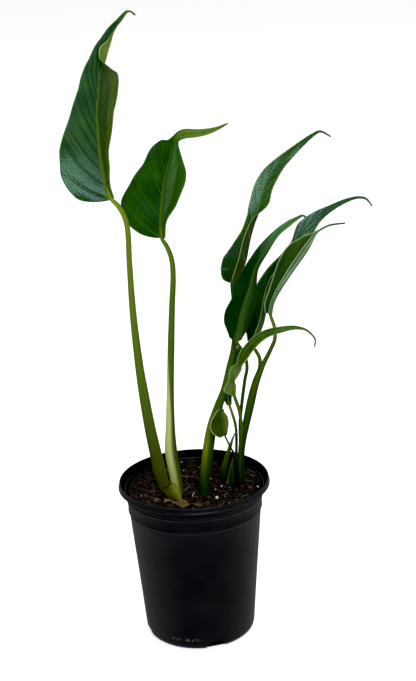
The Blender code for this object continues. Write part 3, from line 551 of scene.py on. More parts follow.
def makePotSkin():
    material, tree = startMaterial("satinBlackPolypropylene")
    place = addNode(tree, "TexCoord", output="Object")
    # Flow marks are upright and about 5 mm wide; the moulded skin has a 0.4 mm grain
    stretched = addNode(tree, "Mapping", {"Vector": place, "Scale": (1, 1, 0.06)})
    flow = addNode(tree, "TexNoise", (stretched, 0.19 / mm, 3.0))
    grain = addNode(tree, "TexNoise", (place, 2.4 / mm, 2.0))
    cloud = addNode(tree, "TexNoise", (place, 0.038 / mm, 5.0))
    body = addNode(tree, "ValToRGB", (cloud,), [(0.35, "#060608"), (0.6, "#0a0a0c"), (0.8, "#100f11")])
    # Dried mud sits low on the front in specks of 1 to 3 mm, in a patch that is wider than it is high, with a
    # little dust everywhere
    mud = pot["mud"]
    x, y, z = mud["place"]
    specks = addNode(tree, "TexNoise", (place, 0.42 / mm, 6.0, 0.7))
    spot = addNode(tree, "Mapping", {"Vector": place, "Scale": (1, 1, mud["flatness"])})
    middle = Vector((x, y, z * mud["flatness"])) * mm
    away = addNode(tree, "VectorMath", (spot, middle), operation="DISTANCE")
    inPatch = addNode(tree, "MapRange", (away, mud["full"] * mm, mud["gone"] * mm, 1.0, 0.0))
    muddy = addNode(tree, "MapRange", (specks, 0.53, 0.62))
    muddy = addNode(tree, "Math", (muddy, inPatch), operation="MULTIPLY")
    dusty = addNode(tree, "MapRange", (specks, 0.62, 0.72, 0.0, 0.25))
    for share, tint in ((muddy, mud["hex"]), (dusty, "#3a3630")):
        body = addNode(tree, "Mix", (share, body, tint), data_type="RGBA")
    gloss = addNode(tree, "MapRange", (cloud, 0.3, 0.7, 0.36, 0.5))
    relief = addNode(tree, "Math", (flow, 2.5, grain), operation="MULTIPLY_ADD")
    relief = addNode(tree, "Bump", {"Height": relief, "Strength": 0.25, "Distance": 0.12 * mm})
    return setSurface(material, {"Base Color": body, "Roughness": gloss, "Normal": relief, "IOR": 1.49,
                                 "Specular IOR Level": 0.18, "Sheen Weight": 0.13, "Sheen Roughness": 0.5,
                                 "Sheen Tint": "#e8e0e4"})


def makeNotchCutter():
    form = pot["notches"]
    cutters = bmesh.new()
    for number in range(form["count"]):
        angle = math.radians(form["turn"] + number * 360 / form["count"])
        for vert in bmesh.ops.create_cube(cutters, size=1.0)["verts"]:
            along = vert.co.x * form["width"] * (form["narrowing"] if vert.co.z > 0 else 1.0)
            out = form["radius"] + vert.co.y * form["depth"]
            up = form["height"] if vert.co.z > 0 else -form["below"]
            vert.co = Vector((out * math.sin(angle) + along * math.cos(angle),
                              -out * math.cos(angle) + along * math.sin(angle), up)) * mm
    bmesh.ops.recalc_face_normals(cutters, faces=cutters.faces)
    return addObject("notchCutters", finishMesh("notchCutters", cutters))


def makePot():
    # The inside, but for the ledge, is matte and darker than the outside: painted shade that keeps the inner
    # wall near black
    matte = setSurface(startMaterial("matteInsidePaintedShade")[0],
                       {"Base Color": "#060607", "Roughness": 0.9, "Specular IOR Level": 0.05})
    maker = bmesh.new()
    spinProfile(maker, pot["outside"] + pot["inside"], pot["turns"])
    for face in maker.faces:
        centre = face.calc_center_median()
        onLedge = abs(centre.z - pot["ledge"] * mm) < 0.3 * mm
        inward = face.normal.dot(Vector((centre.x, centre.y, 0))) < -0.3 * centre.xy.length
        face.material_index = 1 if inward and not onLedge else 0
    shell = finishPiece("nurseryPot", maker, [makePotSkin(), matte], "black_moulded_plastic", "pot", 35)
    cutter = makeNotchCutter()
    cut = shell.modifiers.new("drainNotches", "BOOLEAN")
    cut.object = cutter
    cut.solver = "EXACT"
    bpy.context.view_layer.update()
    solved = bpy.data.meshes.new_from_object(shell.evaluated_get(bpy.context.evaluated_depsgraph_get()))
    shell.modifiers.clear()
    shell.data = solved
    bpy.data.objects.remove(cutter)


makePot()
print("pot made")

# Potting mix: damp composted bark and peat, with rusty bark bits, root threads and grains of perlite, which
# are the only bright things in it. Its hollows are painted almost black, as shade.

mix = {
    "level": 125.0, "relief": 1.3, "rise": 0.19, "flatRadius": 30.0, "radius": 55.6, "rings": 64,
    "turns": 120, "slot": "bark_and_peat_mix", "seed": 23, "wallGap": 0.35,
    "bits": [  # fromWall keeps them off the wall, and least is the smallest share of the size that is drawn
        {"name": "peatCrumbs", "count": 2600, "fromWall": 1.5, "size": (0.45, 1.5), "least": 0.6,
         "flatness": (0.5, 0.9), "lift": (0.0, 0.7), "tone": (0.0, 0.55)},
        {"name": "barkBits", "count": 330, "fromWall": 4, "size": (1.0, 3.0), "least": 0.5,
         "flatness": (0.22, 0.4), "lift": (0.1, 0.8), "tone": (0.0, 0.9)},
    ],
    "skins": {  # dark, middle and light grains, and roughness
        "dampPeat": ("#050302", "#150d08", "#4c3426", 0.8),
        "compostedBark": ("#080503", "#20130c", "#5c4030", 0.7),
    },
    "threads": 100, "threadLength": (5, 13), "threadRadius": (0.16, 0.42), "threadRise": (0.3, 1.6),
    "sticks": [  # x, y, heading, length, radius and tone of the ones that catch the eye
        (-1.0, -5.5, -1.4, 12.0, 0.42, 1.4), (46.0, 30.0, -1.1, 17.0, 0.22, 0.75),
        (43.1, 10.0, -1.0, 12.0, 0.22, 0.8), (-25.0, -22.5, 2.4, 18.0, 0.28, 0.85),
        (-44.0, -12.0, -0.3, 10.0, 0.25, 0.6), (20.0, -36.0, 0.4, 9.0, 0.22, 0.7),
    ],
    "perlite": [  # x, y, size
        (-10.8, 50.7, 0.65), (-8.9, 37.6, 0.6), (18.4, -19.1, 1.35), (52.6, -10.3, 0.8), (22.7, 4.1, 0.7),
        (17.6, -1.7, 0.5), (13.8, 20.3, 0.6), (12.9, 11.7, 0.5), (-30.0, 26.0, 0.4), (-44.0, -14.0, 0.4),
        (28.0, -34.0, 0.4),
    ],
    "bareSpots": [  # x, y, radius: where stalks stand
        (-22.8, -10, 5.0), (-13.9, -5.4, 4.8), (8.0, -5.5, 4.4), (40.5, 16.8, 3.2), (38.8, 21, 2.4),
        (38.8, 12.4, 2.0), (24.2, 14.2, 3.4), (31, 8.5, 3.8), (37.7, 6.5, 2.0),
    ],
}


def mixHeight(x, y):
    rolling = noise.noise(Vector((x * 0.06, y * 0.06, 1.7)))
    crumbs = noise.noise(Vector((x * 0.21, y * 0.21, 5.3)))
    edge = max(0.0, math.hypot(x, y) - mix["flatRadius"]) * mix["rise"]
    return mix["level"] + mix["relief"] * (0.9 * rolling + 0.8 * crumbs) + edge


def makeMixSkin(name, dark, middle, light, roughness):
    material, tree = startMaterial(name)
    place = addNode(tree, "TexCoord", output="Object")
    tone = addNode(tree, "Attribute", output="Fac", attribute_name="tone")
    # Grains about 1 mm across lie in patches of about 5 mm
    fine = addNode(tree, "TexNoise", (place, 0.9 / mm, 5.0, 0.65))
    coarse = addNode(tree, "TexNoise", (place, 0.19 / mm, 3.0))
    speck = addNode(tree, "Mix", (0.4, fine, coarse), data_type="FLOAT")
    level = addNode(tree, "Math", (tone, 0.5, speck), operation="MULTIPLY_ADD")
    body = addNode(tree, "ValToRGB", (level,), [(0.45, dark), (0.68, middle), (1.0, light)])
    gloss = addNode(tree, "MapRange", (fine, 0.3, 0.7, roughness - 0.12, roughness + 0.08))
    relief = addNode(tree, "Bump", {"Height": fine, "Strength": 0.8, "Distance": 0.5 * mm})
    return setSurface(material, {"Base Color": body, "Roughness": gloss, "Normal": relief,
                                 "Specular IOR Level": 0.25})


def makeMixBody(peat):
    maker = bmesh.new()
    top = [(mix["radius"] * n / mix["rings"], mix["level"]) for n in range(mix["rings"] + 1)]
    wall = [(r - mix["wallGap"], z + mix["wallGap"]) for r, z in pot["inside"] if z < mix["level"] - 2]
    spinProfile(maker, top + wall, mix["turns"])
    tone = maker.verts.layers.float.new("tone")
    for vert in maker.verts:
        x, y = vert.co.x / mm, vert.co.y / mm
        if abs(vert.co.z / mm - mix["level"]) < 0.001:
            rough = noise.noise(Vector((x * 0.55, y * 0.55, 2.2)))
            rough += 0.6 * noise.noise(Vector((x * 1.1, y * 1.1, 7.7)))
            # The mix heaps up a little round each stalk
            bare = min(math.hypot(x - sx, y - sy) / radius for sx, sy, radius in mix["bareSpots"])
            mound = 0.7 * max(0.0, 1.7 - bare) if bare > 0.6 else 0.6
            inward = min(max((mix["radius"] - math.hypot(x, y)) / 2, 0.0), 1.0)
            vert.co.z = (mixHeight(x, y) + (0.75 * rough + mound) * inward) * mm
            # The tone follows the same noise that lifts the surface, so the hollows are darker: painted shade
            vert[tone] = 0.2 + 0.4 * rough
    finishPiece("pottingMix", maker, [peat], mix["slot"], "soil")


def scatterSpot(draw, reach):
    while True:
        away, angle = reach * math.sqrt(draw.random()), draw.uniform(0, math.tau)
        x, y = away * math.cos(angle), away * math.sin(angle)
        if all(math.hypot(x - sx, y - sy) > radius for sx, sy, radius in mix["bareSpots"]):
            return x, y


def addBit(maker, toneLayer, draw, bits):
    x, y = scatterSpot(draw, mix["radius"] - bits["fromWall"])
    size = draw.uniform(*bits["size"]) * draw.uniform(bits["least"], 1.0)
    flatness, lift, tone = (draw.uniform(*bits[key]) for key in ("flatness", "lift", "tone"))
    made = bmesh.ops.create_icosphere(maker, subdivisions=1, radius=1.0)["verts"]
    turn, lean = draw.uniform(0, math.pi), draw.uniform(-0.5, 0.5)
    long, wide, tall = size * draw.uniform(1.0, 1.9), size * draw.uniform(0.6, 0.95), size * flatness
    height = mixHeight(x, y) + lift
    for vert in made:
        jag = draw.uniform(0.75, 1.15)
        a, b, c = vert.co.x * long * jag, vert.co.y * wide * jag, vert.co.z * tall * jag
        c += a * math.sin(lean)
        vert.co = Vector((x + a * math.cos(turn) - b * math.sin(turn),
                          y + a * math.sin(turn) + b * math.cos(turn), height + c)) * mm
        vert[toneLayer] = tone


# Perlite: heat-popped volcanic glass, so each grain is a rough chalky white bead with pores of about 0.6 mm
def makePerlite():
    material, tree = startMaterial("perlite")
    pores = addNode(tree, "TexNoise", (addNode(tree, "TexCoord", output="Object"), 1.6 / mm, 3.0))
    chalk = addNode(tree, "ValToRGB", (pores,), [(0.35, "#a89d8c"), (0.65, "#e6dfd4")])
    setSurface(material, {"Base Color": chalk, "Roughness": 0.8, "Specular IOR Level": 0.4})
    maker = bmesh.new()
    for x, y, size in mix["perlite"]:
        made = bmesh.ops.create_icosphere(maker, subdivisions=2, radius=1.0)["verts"]
        for vert in made:
            lump = 1 + 0.35 * noise.noise(vert.co * 1.6 + Vector((x, y, 0)))
            vert.co = Vector((x, y, mixHeight(x, y) + 0.9 + size * 0.3)) * mm + vert.co * (size * lump * mm)
    finishPiece("perliteGrains", maker, [material], mix["slot"])


# Root threads and bark fibres: thin, dry and pale brown, stained in patches of about 2 mm
def makeThreadSkin():
    material, tree = startMaterial("dryRootFibre")
    tone = addNode(tree, "Attribute", output="Fac", attribute_name="tone")
    stain = addNode(tree, "TexNoise", (addNode(tree, "TexCoord", output="Object"), 0.5 / mm, 2.0))
    level = addNode(tree, "Mix", (0.35, tone, stain), data_type="FLOAT")
    browns = [(0.2, "#1c100a"), (0.55, "#4a3422"), (0.85, "#9a8666"), (1.0, "#b8aa90")]
    dry = addNode(tree, "ValToRGB", (level,), browns)
    return setSurface(material, {"Base Color": dry, "Roughness": 0.8, "Specular IOR Level": 0.3})


def makeThreads(draw):
    maker = bmesh.new()
    toneLayer = maker.verts.layers.float.new("tone")
    rim = mix["radius"] - 1
    for number in range(mix["threads"]):
        x, y = scatterSpot(draw, mix["radius"] - 7)
        heading, length = draw.uniform(0, math.tau), draw.uniform(*mix["threadLength"])
        radius, colour = draw.uniform(*mix["threadRadius"]), draw.random() ** 1.5
        rise = draw.uniform(*mix["threadRise"])
        before = len(maker.verts)
        made = bmesh.ops.create_cone(maker, cap_ends=True, segments=4, radius1=1, radius2=0.6, depth=1)
        around = {edge for vert in made["verts"] for edge in vert.link_edges}
        longEdges = [edge for edge in around if abs(edge.verts[0].co.z - edge.verts[1].co.z) > 0.5]
        bmesh.ops.subdivide_edges(maker, edges=longEdges, cuts=7, use_grid_fill=True)
        maker.verts.ensure_lookup_table()
        bow, phase = draw.uniform(-0.9, 0.9), draw.uniform(0, 6)
        if number < len(mix["sticks"]):  # a stick takes the place of a thread and is nearly straight
            x, y, heading, length, radius, colour = mix["sticks"][number]
            bow *= 0.2
        for vert in maker.verts[before:]:
            at = vert.co.z + 0.5
            turn = heading + bow * at
            px = x + math.cos(turn) * length * at * 0.8 - math.sin(heading) * math.sin(at * 5 + phase)
            py = y + math.sin(turn) * length * at * 0.8 + math.cos(heading) * math.sin(at * 5 + phase)
            shrink = min(1.0, rim / max(math.hypot(px, py), 0.001))
            px, py = px * shrink, py * shrink
            lift = mixHeight(px, py) + 0.5 + rise * math.sin(math.pi * at)
            away = Vector((-math.sin(turn) * vert.co.x, math.cos(turn) * vert.co.x, vert.co.y)) * radius
            vert[toneLayer] = colour
            vert.co = (Vector((px, py, lift)) + away) * mm
    finishPiece("rootThreads", maker, [makeThreadSkin()], mix["slot"])


def makeMix():
    peat, bark = (makeMixSkin(name, *look) for name, look in mix["skins"].items())
    draw = random.Random(mix["seed"])
    makeMixBody(peat)
    for bits, skin in zip(mix["bits"], (peat, bark)):
        maker = bmesh.new()
        tone = maker.verts.layers.float.new("tone")
        for number in range(bits["count"]):
            addBit(maker, tone, draw, bits)
        finishPiece(bits["name"], maker, [skin], mix["slot"])
    makePerlite()
    makeThreads(draw)


makeMix()
print("potting mix made")

# Left plant: a tall glossy leaf whose right half stands edge-on, with a rolled margin near its tip

tallLeaf = {
    "replaces": "leaf_left_tall", "slot": "leaf_green", "lobes": (-4, -1), "columns": 64, "lengths": 190,
    "ribWidth": 3.4, "veinSpacing": 11.0, "veinStart": (0.6, 3.2), "veinFan": 0.035, "veinBend": 0.01,
    "grooveDepth": 0.3, "pillow": 0.22,
    "rows": [
        (-52, -30, 385, 16, 5, 3, 50), (-55, -26.5, 393, 26.5, 8, 6.5, 60),
        (-57.5, -20.5, 404, 31.8, 10, 11.7, 62), (-59.5, -14.5, 418.5, 31.4, 10, 15.6, 60),
        (-60, -11, 435, 26, 12, 18.2, 55), (-60, -9, 449.5, 19.4, 12, 19, 48),
        (-58, -7, 463, 15.9, 13, 19.9, 42), (-57, -4, 471.5, 14.4, 14, 19.2, 42),
        (-56, -1.5, 477, 13, 16, 16.6, 52), (-54, 0.5, 481.5, 12.2, 18, 11, 92),
        (-52, 2, 486.5, 11.6, 18, 8, 140), (-50, 3.5, 492.5, 10.2, 16, 8.2, 150),
        (-47.5, 5.5, 499, 7.8, 12, 3.4, 150), (-44.5, 7, 506.5, 5, 8, 2, 120),
        (-39.5, 7, 514, 2.4, 0, 1.6, 60), (-34.5, 7, 520, 1.2, 0, 1.2, 0), (-31, 5, 521.5, 0.9, 0, 0.9, 0),
        (-27, 3, 518.5, 0.6, 0, 0.6, 0),
    ],
    "upper": {
        # Its dark vein colour is painted shade in the sunken side-vein grooves
        "deep": "#0c2c00", "middle": "#1c4400", "pale": "#385c02", "vein": "#082202", "midrib": "#445c00",
        # Its edge-on right half is painted in darker olive bands as shade, with paler streaks of painted
        # sheen
        "rightBands": [
            (0.0, "#28380a"), (0.3, "#3c4c0c"), (0.5, "#26400a"), (0.72, "#4c5a20"), (1.0, "#38500a"),
        ],
        "rightShare": 0.85, "veinShare": 0.7, "fineShare": 0.1, "specular": 0.4, "roughness": 0.2,
        "dulls": 0.42,
    },
    "lower": {
        "deep": "#38500c", "middle": "#4a6214", "pale": "#647a2c", "midrib": "#5c6c18", "margin": "#a4b050",
    },
}
makeBlade("tallLeaf", tallLeaf)

# Its heart-shaped neighbour, dark with thin yellow-green veins that fan from the base, and a ribbon of a tip
shortLeaf = {
    "replaces": "leaf_left_short", "slot": "leaf_green", "lobes": (-4, -1), "columns": 56, "lengths": 150,
    "ribWidth": 2.4, "veinSpacing": 17.0, "veinStart": (0.6, 0.6), "veinFan": 0.02, "grooveDepth": 0.25,
    "pillow": 0.3,
    "rows": [
        (-16, 5, 343, 17, 0, 3.5, 50), (-16, 7, 356, 28, 2, 7.9, 62), (-15, 10, 369, 32.2, 5, 17, 52),
        (-13, 13, 383, 25.8, 8, 20, 42), (-9.5, 16, 395, 20.1, 10, 18, 36),
        (-6, 19, 406.5, 17.2, 12, 10.3, 30), (-3.5, 20.5, 413.5, 12.2, 12, 5.2, 20),
        (-2.3, 20.5, 416.4, 7.8, 12, 3.2, 10), (-1.8, 20.5, 418.1, 4.2, 8, 3, 4),
        (-0.7, 20.2, 419.7, 3.2, 0, 3.4, 0), (1.2, 19.4, 421.3, 3.5, 0, 3.6, 0),
        (4, 18.4, 422.7, 3.8, 0, 3.8, 0), (7.4, 17.4, 423.4, 3.8, 0, 3.8, 0),
        (14.1, 16, 423.6, 3.3, 0, 3.3, 0), (22.7, 14.5, 424.6, 2.6, 0, 2.5, 0),
        (31, 13.3, 427, 1.6, 0, 1.6, 0), (40, 12, 431, 0.5, 0, 0.5, 0),
    ],
    "upper": {
        "deep": "#0a2a00", "middle": "#143a00", "pale": "#284e04", "vein": "#3a5c04", "midrib": "#38560a",
        # The grey-green bands next to the midrib on its right half are painted sheen
        "rightBands": [
            (0.0, "#284010"), (0.14, "#3a5828"), (0.42, "#426030"), (0.58, "#224406"), (0.85, "#28500e"),
            (1.0, "#2c5420"),
        ],
        "rightShare": 0.9, "veinShare": 0.5, "specular": 0.1, "zones": [("#587024", 83.0, 75.0)],
    },
    "lower": {
        "deep": "#2a4606", "middle": "#3e5c10", "pale": "#56762c", "midrib": "#3c5810", "margin": "#5c7830",
    },
}
makeBlade("shortLeaf", shortLeaf)

# The short crown stem that the tall stalk stands on, with a paler ring near its top
leftStem = {
    "replaces": "stem_left", "slot": "olive_stalk",
    "rows": [
        (-15, -11.5, 98, 9, 8.6, 0), (-15.7, -12.3, 123.2, 10.4, 9, 0), (-17.3, -12.3, 127.8, 12.4, 9.4, 0),
        (-19.7, -12, 132.5, 12.6, 9.6, 0), (-21, -11.8, 135, 12.7, 9.6, 0), (-21.4, -11.7, 136, 12.3, 9.4, 0),
    ],
    "look": {
        "stops": [(0.0, "#2c2800"), (0.75, "#343000"), (0.92, "#4c4e02"), (1.0, "#363600")],
        # Its right side is lighter: painted light
        "rightSideShading": "#787620", "rightShare": 0.9,
    },
}
makeStalk("leftStem", leftStem)

tallStalk = {
    "replaces": "stalk_left_tall", "slot": "olive_stalk", "leaf": tallLeaf,
    "rows": [
        (-24.9, -10, 136, 9.8, 9.4, 0), (-27.4, -10, 148, 10.4, 9.2, 0), (-30.8, -11, 169, 9.9, 8.6, 0),
        (-33.9, -12, 191, 9.0, 8.0, 0), (-36.8, -15, 219, 8.1, 7.2, 0), (-39, -18, 245, 6.8, 6.2, 0),
        (-41.1, -23, 291, 5.4, 5.0, 0), (-41.3, -27, 335, 4.4, 4.2, 0), (-41, -29, 360, 4.2, 4.0, 0),
        (-43, -30, 371, 4.0, 3.8, 0), (-47.5, -30.4, 380, 3.8, 3.4, 0), (-51.5, -30, 384.1, 3.2, 2.8, 0),
    ],
    "look": {
        "stops": [
            (0.0, "#383c02"), (0.1, "#343e00"), (0.35, "#425600"), (0.65, "#506402"), (0.85, "#5a6804"),
            (1.0, "#6c8010"),
        ],
        "rightSideShading": "#3a4c00",
    },
}
makeStalk("tallStalk", tallStalk)

shortStalk = {
    "replaces": "stalk_left_short", "slot": "pale_sheath", "leaf": shortLeaf,
    "rows": [
        (-13.8, -5.4, 108, 8.6, 8.6, 0), (-13.9, -5.4, 124, 9.0, 8.8, 0), (-15.4, -5.2, 144, 10.2, 8.8, 0.15),
        (-17.6, -4.2, 163, 10.2, 8.4, 0.3), (-17.2, -2.2, 185, 7.6, 7.2, 0.3),
        (-15.7, 0.4, 215, 6.0, 6.2, 0.15), (-13.5, 2.6, 249, 5.6, 5.6, 0), (-10.9, 3, 285, 4.9, 4.9, 0),
        (-8.6, 3, 312, 4.4, 4.4, 0), (-9.2, 4, 326, 4.1, 4.1, 0), (-12.5, 4.4, 336.3, 3.8, 3.8, 0),
        (-15.8, 5, 342, 3.2, 3.0, 0),
    ],
    "look": {
        "stops": [
            (0.0, "#7a7a20"), (0.12, "#5a5c0c"), (0.2, "#3c4800"), (0.45, "#3c5400"), (0.75, "#405c00"),
            (0.93, "#4e6400"), (1.0, "#3a4e00"),
        ],
        "rightSideShading": "#223c00", "rightShare": 0.7, "sheath": ("#b0ae66", 96, 195, 255, 0.3, -1.1),
    },
}
makeStalk("shortStalk", shortStalk)
print("left plant made")

# Centre plant: one thick stalk with an open sheath, and a slender glossy leaf whose lower right half is
# folded over its face, so its dark underside shows in front

centreLeaf = {
    "replaces": "leaf_centre", "slot": "leaf_green", "lobes": (10, 0), "lengths": 150, "ribWidth": 1.9,
    "veinSpacing": 15.0, "veinStart": (1.6, 1.6), "grooveDepth": 0.08, "pillow": 0.08, "waves": 0.3,
    "rows": [
        (38.5, 25, 297.5, 1.6, 5, 2, 120), (40, 25, 299.5, 6, 5, 3.4, 140),
        (42, 25, 302.5, 10.4, 5, 4.6, 150), (45, 25.5, 306.5, 15, 5, 6.2, 158),
        (49.5, 26, 316, 17.2, 4, 7.4, 158), (52.5, 27, 328, 11.6, 2, 6.9, 158),
        (55.5, 28, 338.5, 7.7, 2, 5.9, 156), (58.5, 30, 346.5, 7.5, 10, 5, 145),
        (61.5, 32.5, 352.5, 8.6, 8, 7.2, 96), (64.5, 36, 361.5, 8.8, 2, 7.7, 36),
        (68.5, 40.5, 371.5, 9, -2, 6.6, 28), (74, 44.5, 381, 7.7, -4, 6.6, 38),
        (81.5, 48, 389, 5.8, -2, 5, 38), (91, 51, 397.5, 3.5, 10, 4, 25), (101, 52, 405, 2.3, 0, 2.4, 0),
        (109, 51, 411, 1.4, 0, 1.5, 0), (115, 49, 414, 0.9, 0, 1, 0), (123, 46, 410, 0.6, 0, 0.6, 0),
    ],
    "upper": {
        "deep": "#143400", "middle": "#244a00", "pale": "#3c6208", "vein": "#345c10", "midrib": "#385a0a",
        "margin": "#6c7c44", "marginShare": 0.75, "veinShare": 0.15, "veinBump": 0.12, "specular": 0.58,
        # The dark zone over its first 34 mm is painted shade under its folded-over half
        "roughness": 0.3, "zones": [("#0a2a00", 2.0, 34.0)],
    },
    "lower": {
        "deep": "#0c2000", "middle": "#142a00", "pale": "#223804", "midrib": "#283c04", "margin": "#8c9c5c",
        "marginShare": 0.9, "rightShare": 0.85,
        "rightBands": [
            (0.0, "#0e2200"), (0.3, "#162c00"), (0.55, "#222c04"), (0.8, "#182e00"), (1.0, "#223604"),
        ],
    },
}
makeBlade("centreLeaf", centreLeaf)

centreStalk = {
    "replaces": "stalk_centre", "slot": "green_stalk", "leaf": centreLeaf,
    "rows": [
        (7.9, -5.5, 104, 7.8, 8.0, 0), (7.9, -5.5, 125, 8.0, 8.0, 0), (9.2, -5, 136.5, 8.6, 8.2, 0.1),
        (11.3, -3.6, 152, 9.2, 8.2, 0.2), (13.6, -1.8, 166, 9.2, 8.0, 0.25), (17, 1, 182, 8.4, 7.6, 0.25),
        (22.8, 4.2, 197.5, 7.4, 6.8, 0.15), (28.4, 7, 211.5, 5.8, 5.6, 0), (33.5, 11, 229, 5.6, 5.2, 0),
        (38, 14, 246, 5.0, 4.6, 0), (40.2, 18.5, 272, 4.4, 4.0, 0), (38.9, 24.8, 296.2, 3.4, 3.0, 0),
    ],
    "look": {
        "stops": [
            (0.0, "#0e1c00"), (0.12, "#142600"), (0.3, "#263c00"), (0.6, "#3a5602"), (0.8, "#243c00"),
            (1.0, "#1c3c04"),
        ],
        "rightSideShading": "#142800", "rightShare": 0.7, "sheath": ("#5e6e02", 136, 170, 208, 0.0, -1.1),
    },
}
makeStalk("centreStalk", centreStalk)
print("centre plant made")

# Right plant: the dark front leaf, with a broad olive midrib

frontLeaf = {
    "replaces": "leaf_front", "slot": "leaf_green", "lobes": (-5, -5), "lengths": 150, "ribWidth": 3.6,
    "veinSpacing": 16.0, "veinStart": (1.2, 1.2), "grooveDepth": 0.15, "pillow": 0.15,
    "rows": [
        (40, -5, 257, 7, 10, 3.6, -15), (43, -7, 269, 13, 12, 6.6, -15), (45, -8, 281, 14.4, 15, 8.9, -15),
        (48.5, -9, 293, 11.8, 15, 8.7, -20), (51, -9, 300, 14.4, 12, 7.6, -25),
        (52.8, -9, 306, 12.8, 10, 5.8, -30), (56.5, -9.5, 319, 8.2, 15, 4, -30),
        (65, -7.5, 332.5, 6.2, 5, 3.4, -20), (75, -3, 344, 3.8, -6, 2.2, -10),
        (85, 0.5, 351.5, 2.5, 0, 2.3, 0), (91.5, 2, 355, 1.4, 0, 1.5, 0), (96, 2, 357, 0.9, 0, 1, 0),
        (99.5, 0, 355, 0.6, 0, 0.6, 0),
    ],
    "upper": {
        "deep": "#061f00", "middle": "#0a2901", "pale": "#163808", "vein": "#1c400c", "midrib": "#2c4804",
        "margin": "#2c4c1c",
        "rightBands": [(0.0, "#2c4604"), (0.35, "#243e04"), (0.7, "#102c00"), (1.0, "#0c2800")],
        # The pale zone towards its tip, from 66 mm on, is a painted sheen
        "rightShare": 0.8, "specular": 0.22, "zones": [("#447038", 104.0, 66.0)],
    },
}
makeBlade("frontLeaf", frontLeaf)

frontStalk = {
    "replaces": "stalk_front", "slot": "dark_stalk", "leaf": frontLeaf,
    "rows": [
        (38.8, 12.4, 126, 2.9, 2.9, 0), (39.6, 12.8, 145, 2.8, 2.8, 0), (40.1, 12, 164, 2.8, 2.8, 0),
        (40.6, 10.4, 182, 2.8, 2.8, 0), (42.4, 8, 198, 2.8, 2.8, 0), (45.6, 3, 221, 2.8, 2.8, 0),
        (47.6, 0, 232, 2.8, 2.8, 0), (46.6, -1.6, 242, 2.8, 2.8, 0), (43.4, -3.4, 250, 2.8, 2.8, 0),
        (40.4, -5, 256.1, 2.6, 2.4, 0),
    ],
    "look": {
        "stops": [
            (0.0, "#0c1c00"), (0.3, "#143002"), (0.6, "#183804"), (0.85, "#2c4a0c"), (1.0, "#3a5410"),
        ],
        "rightSideShading": "#1c3000",
    },
}
makeStalk("frontStalk", frontStalk)

# The long leaf behind: its lower half lies in shade, and its glossy upper half leans out to the right
longLeaf = {
    "replaces": "leaf_right_long", "slot": "leaf_green", "lobes": (2, 0), "lengths": 160, "ribWidth": 1.8,
    "veinSpacing": 14.0, "veinStart": (1.6, 1.6), "grooveDepth": 0.15, "pillow": 0.15,
    "rows": [
        (51.5, 18, 248, 3, 20, 1.6, 100), (57, 18, 254, 11.6, 25, 3.6, 150),
        (61, 18, 262.5, 15.6, 28, 4, 155), (63.5, 18.5, 271.5, 16.2, 30, 4, 155),
        (66, 19, 283, 14.9, 30, 3.8, 155), (68.5, 20, 294, 13, 30, 3.6, 150),
        (73.5, 21, 304.5, 9.6, 28, 4, 135), (81, 23, 315.5, 5, 15, 5, 90), (90, 27, 326.5, 3.6, 4, 5.6, 40),
        (99.5, 32, 337, 7.8, -6, 7.3, 8), (109.5, 37, 345.5, 5.6, -8, 4.8, 0),
        (121, 41.5, 351.5, 3, -6, 2.8, 0), (133, 44, 356.5, 1.8, 0, 1.8, 0), (143, 45, 359, 1.1, 0, 1.2, 0),
        (150.5, 44, 358, 0.9, 0, 0.9, 0), (155.5, 42, 352, 0.6, 0, 0.6, 0),
    ],
    "upper": {
        "deep": "#0c2c02", "middle": "#183e0a", "pale": "#285414", "vein": "#2c5a1a", "midrib": "#2c500c",
        "margin": "#6f8658", "marginShare": 0.8, "specular": 0.6, "roughness": 0.3,
        # The near-black zone over its first 40 mm is painted shade
        "zones": [("#041000", 6.0, 40.0)],
    },
    "lower": {
        "deep": "#182c06", "middle": "#26380e", "pale": "#3c5620", "midrib": "#304410", "margin": "#6c8850",
    },
}
makeBlade("longLeaf", longLeaf)

longStalk = {
    "replaces": "stalk_right_long", "slot": "olive_stalk", "leaf": longLeaf,
    "rows": [
        (38.5, 20.8, 126, 4.0, 3.4, 0), (41.2, 21.8, 151, 4.0, 3.4, 0), (44.4, 22, 172, 4.0, 3.4, 0),
        (48.6, 21.8, 193, 4.0, 3.2, 0), (54, 20.8, 212.5, 3.8, 3.2, 0), (58.4, 19.6, 224, 3.4, 3.2, 0),
        (58.8, 19, 233, 3.2, 3.0, 0), (55.4, 18.4, 241, 3.0, 3.0, 0), (50.7, 18, 246.7, 2.4, 2.2, 0),
    ],
    "look": {
        "stops": [
            (0.0, "#101c00"), (0.3, "#203800"), (0.6, "#304c06"), (0.85, "#4c6004"), (1.0, "#263e00"),
        ],
        "rightSideShading": "#243c00",
    },
}
makeStalk("longStalk", longStalk)
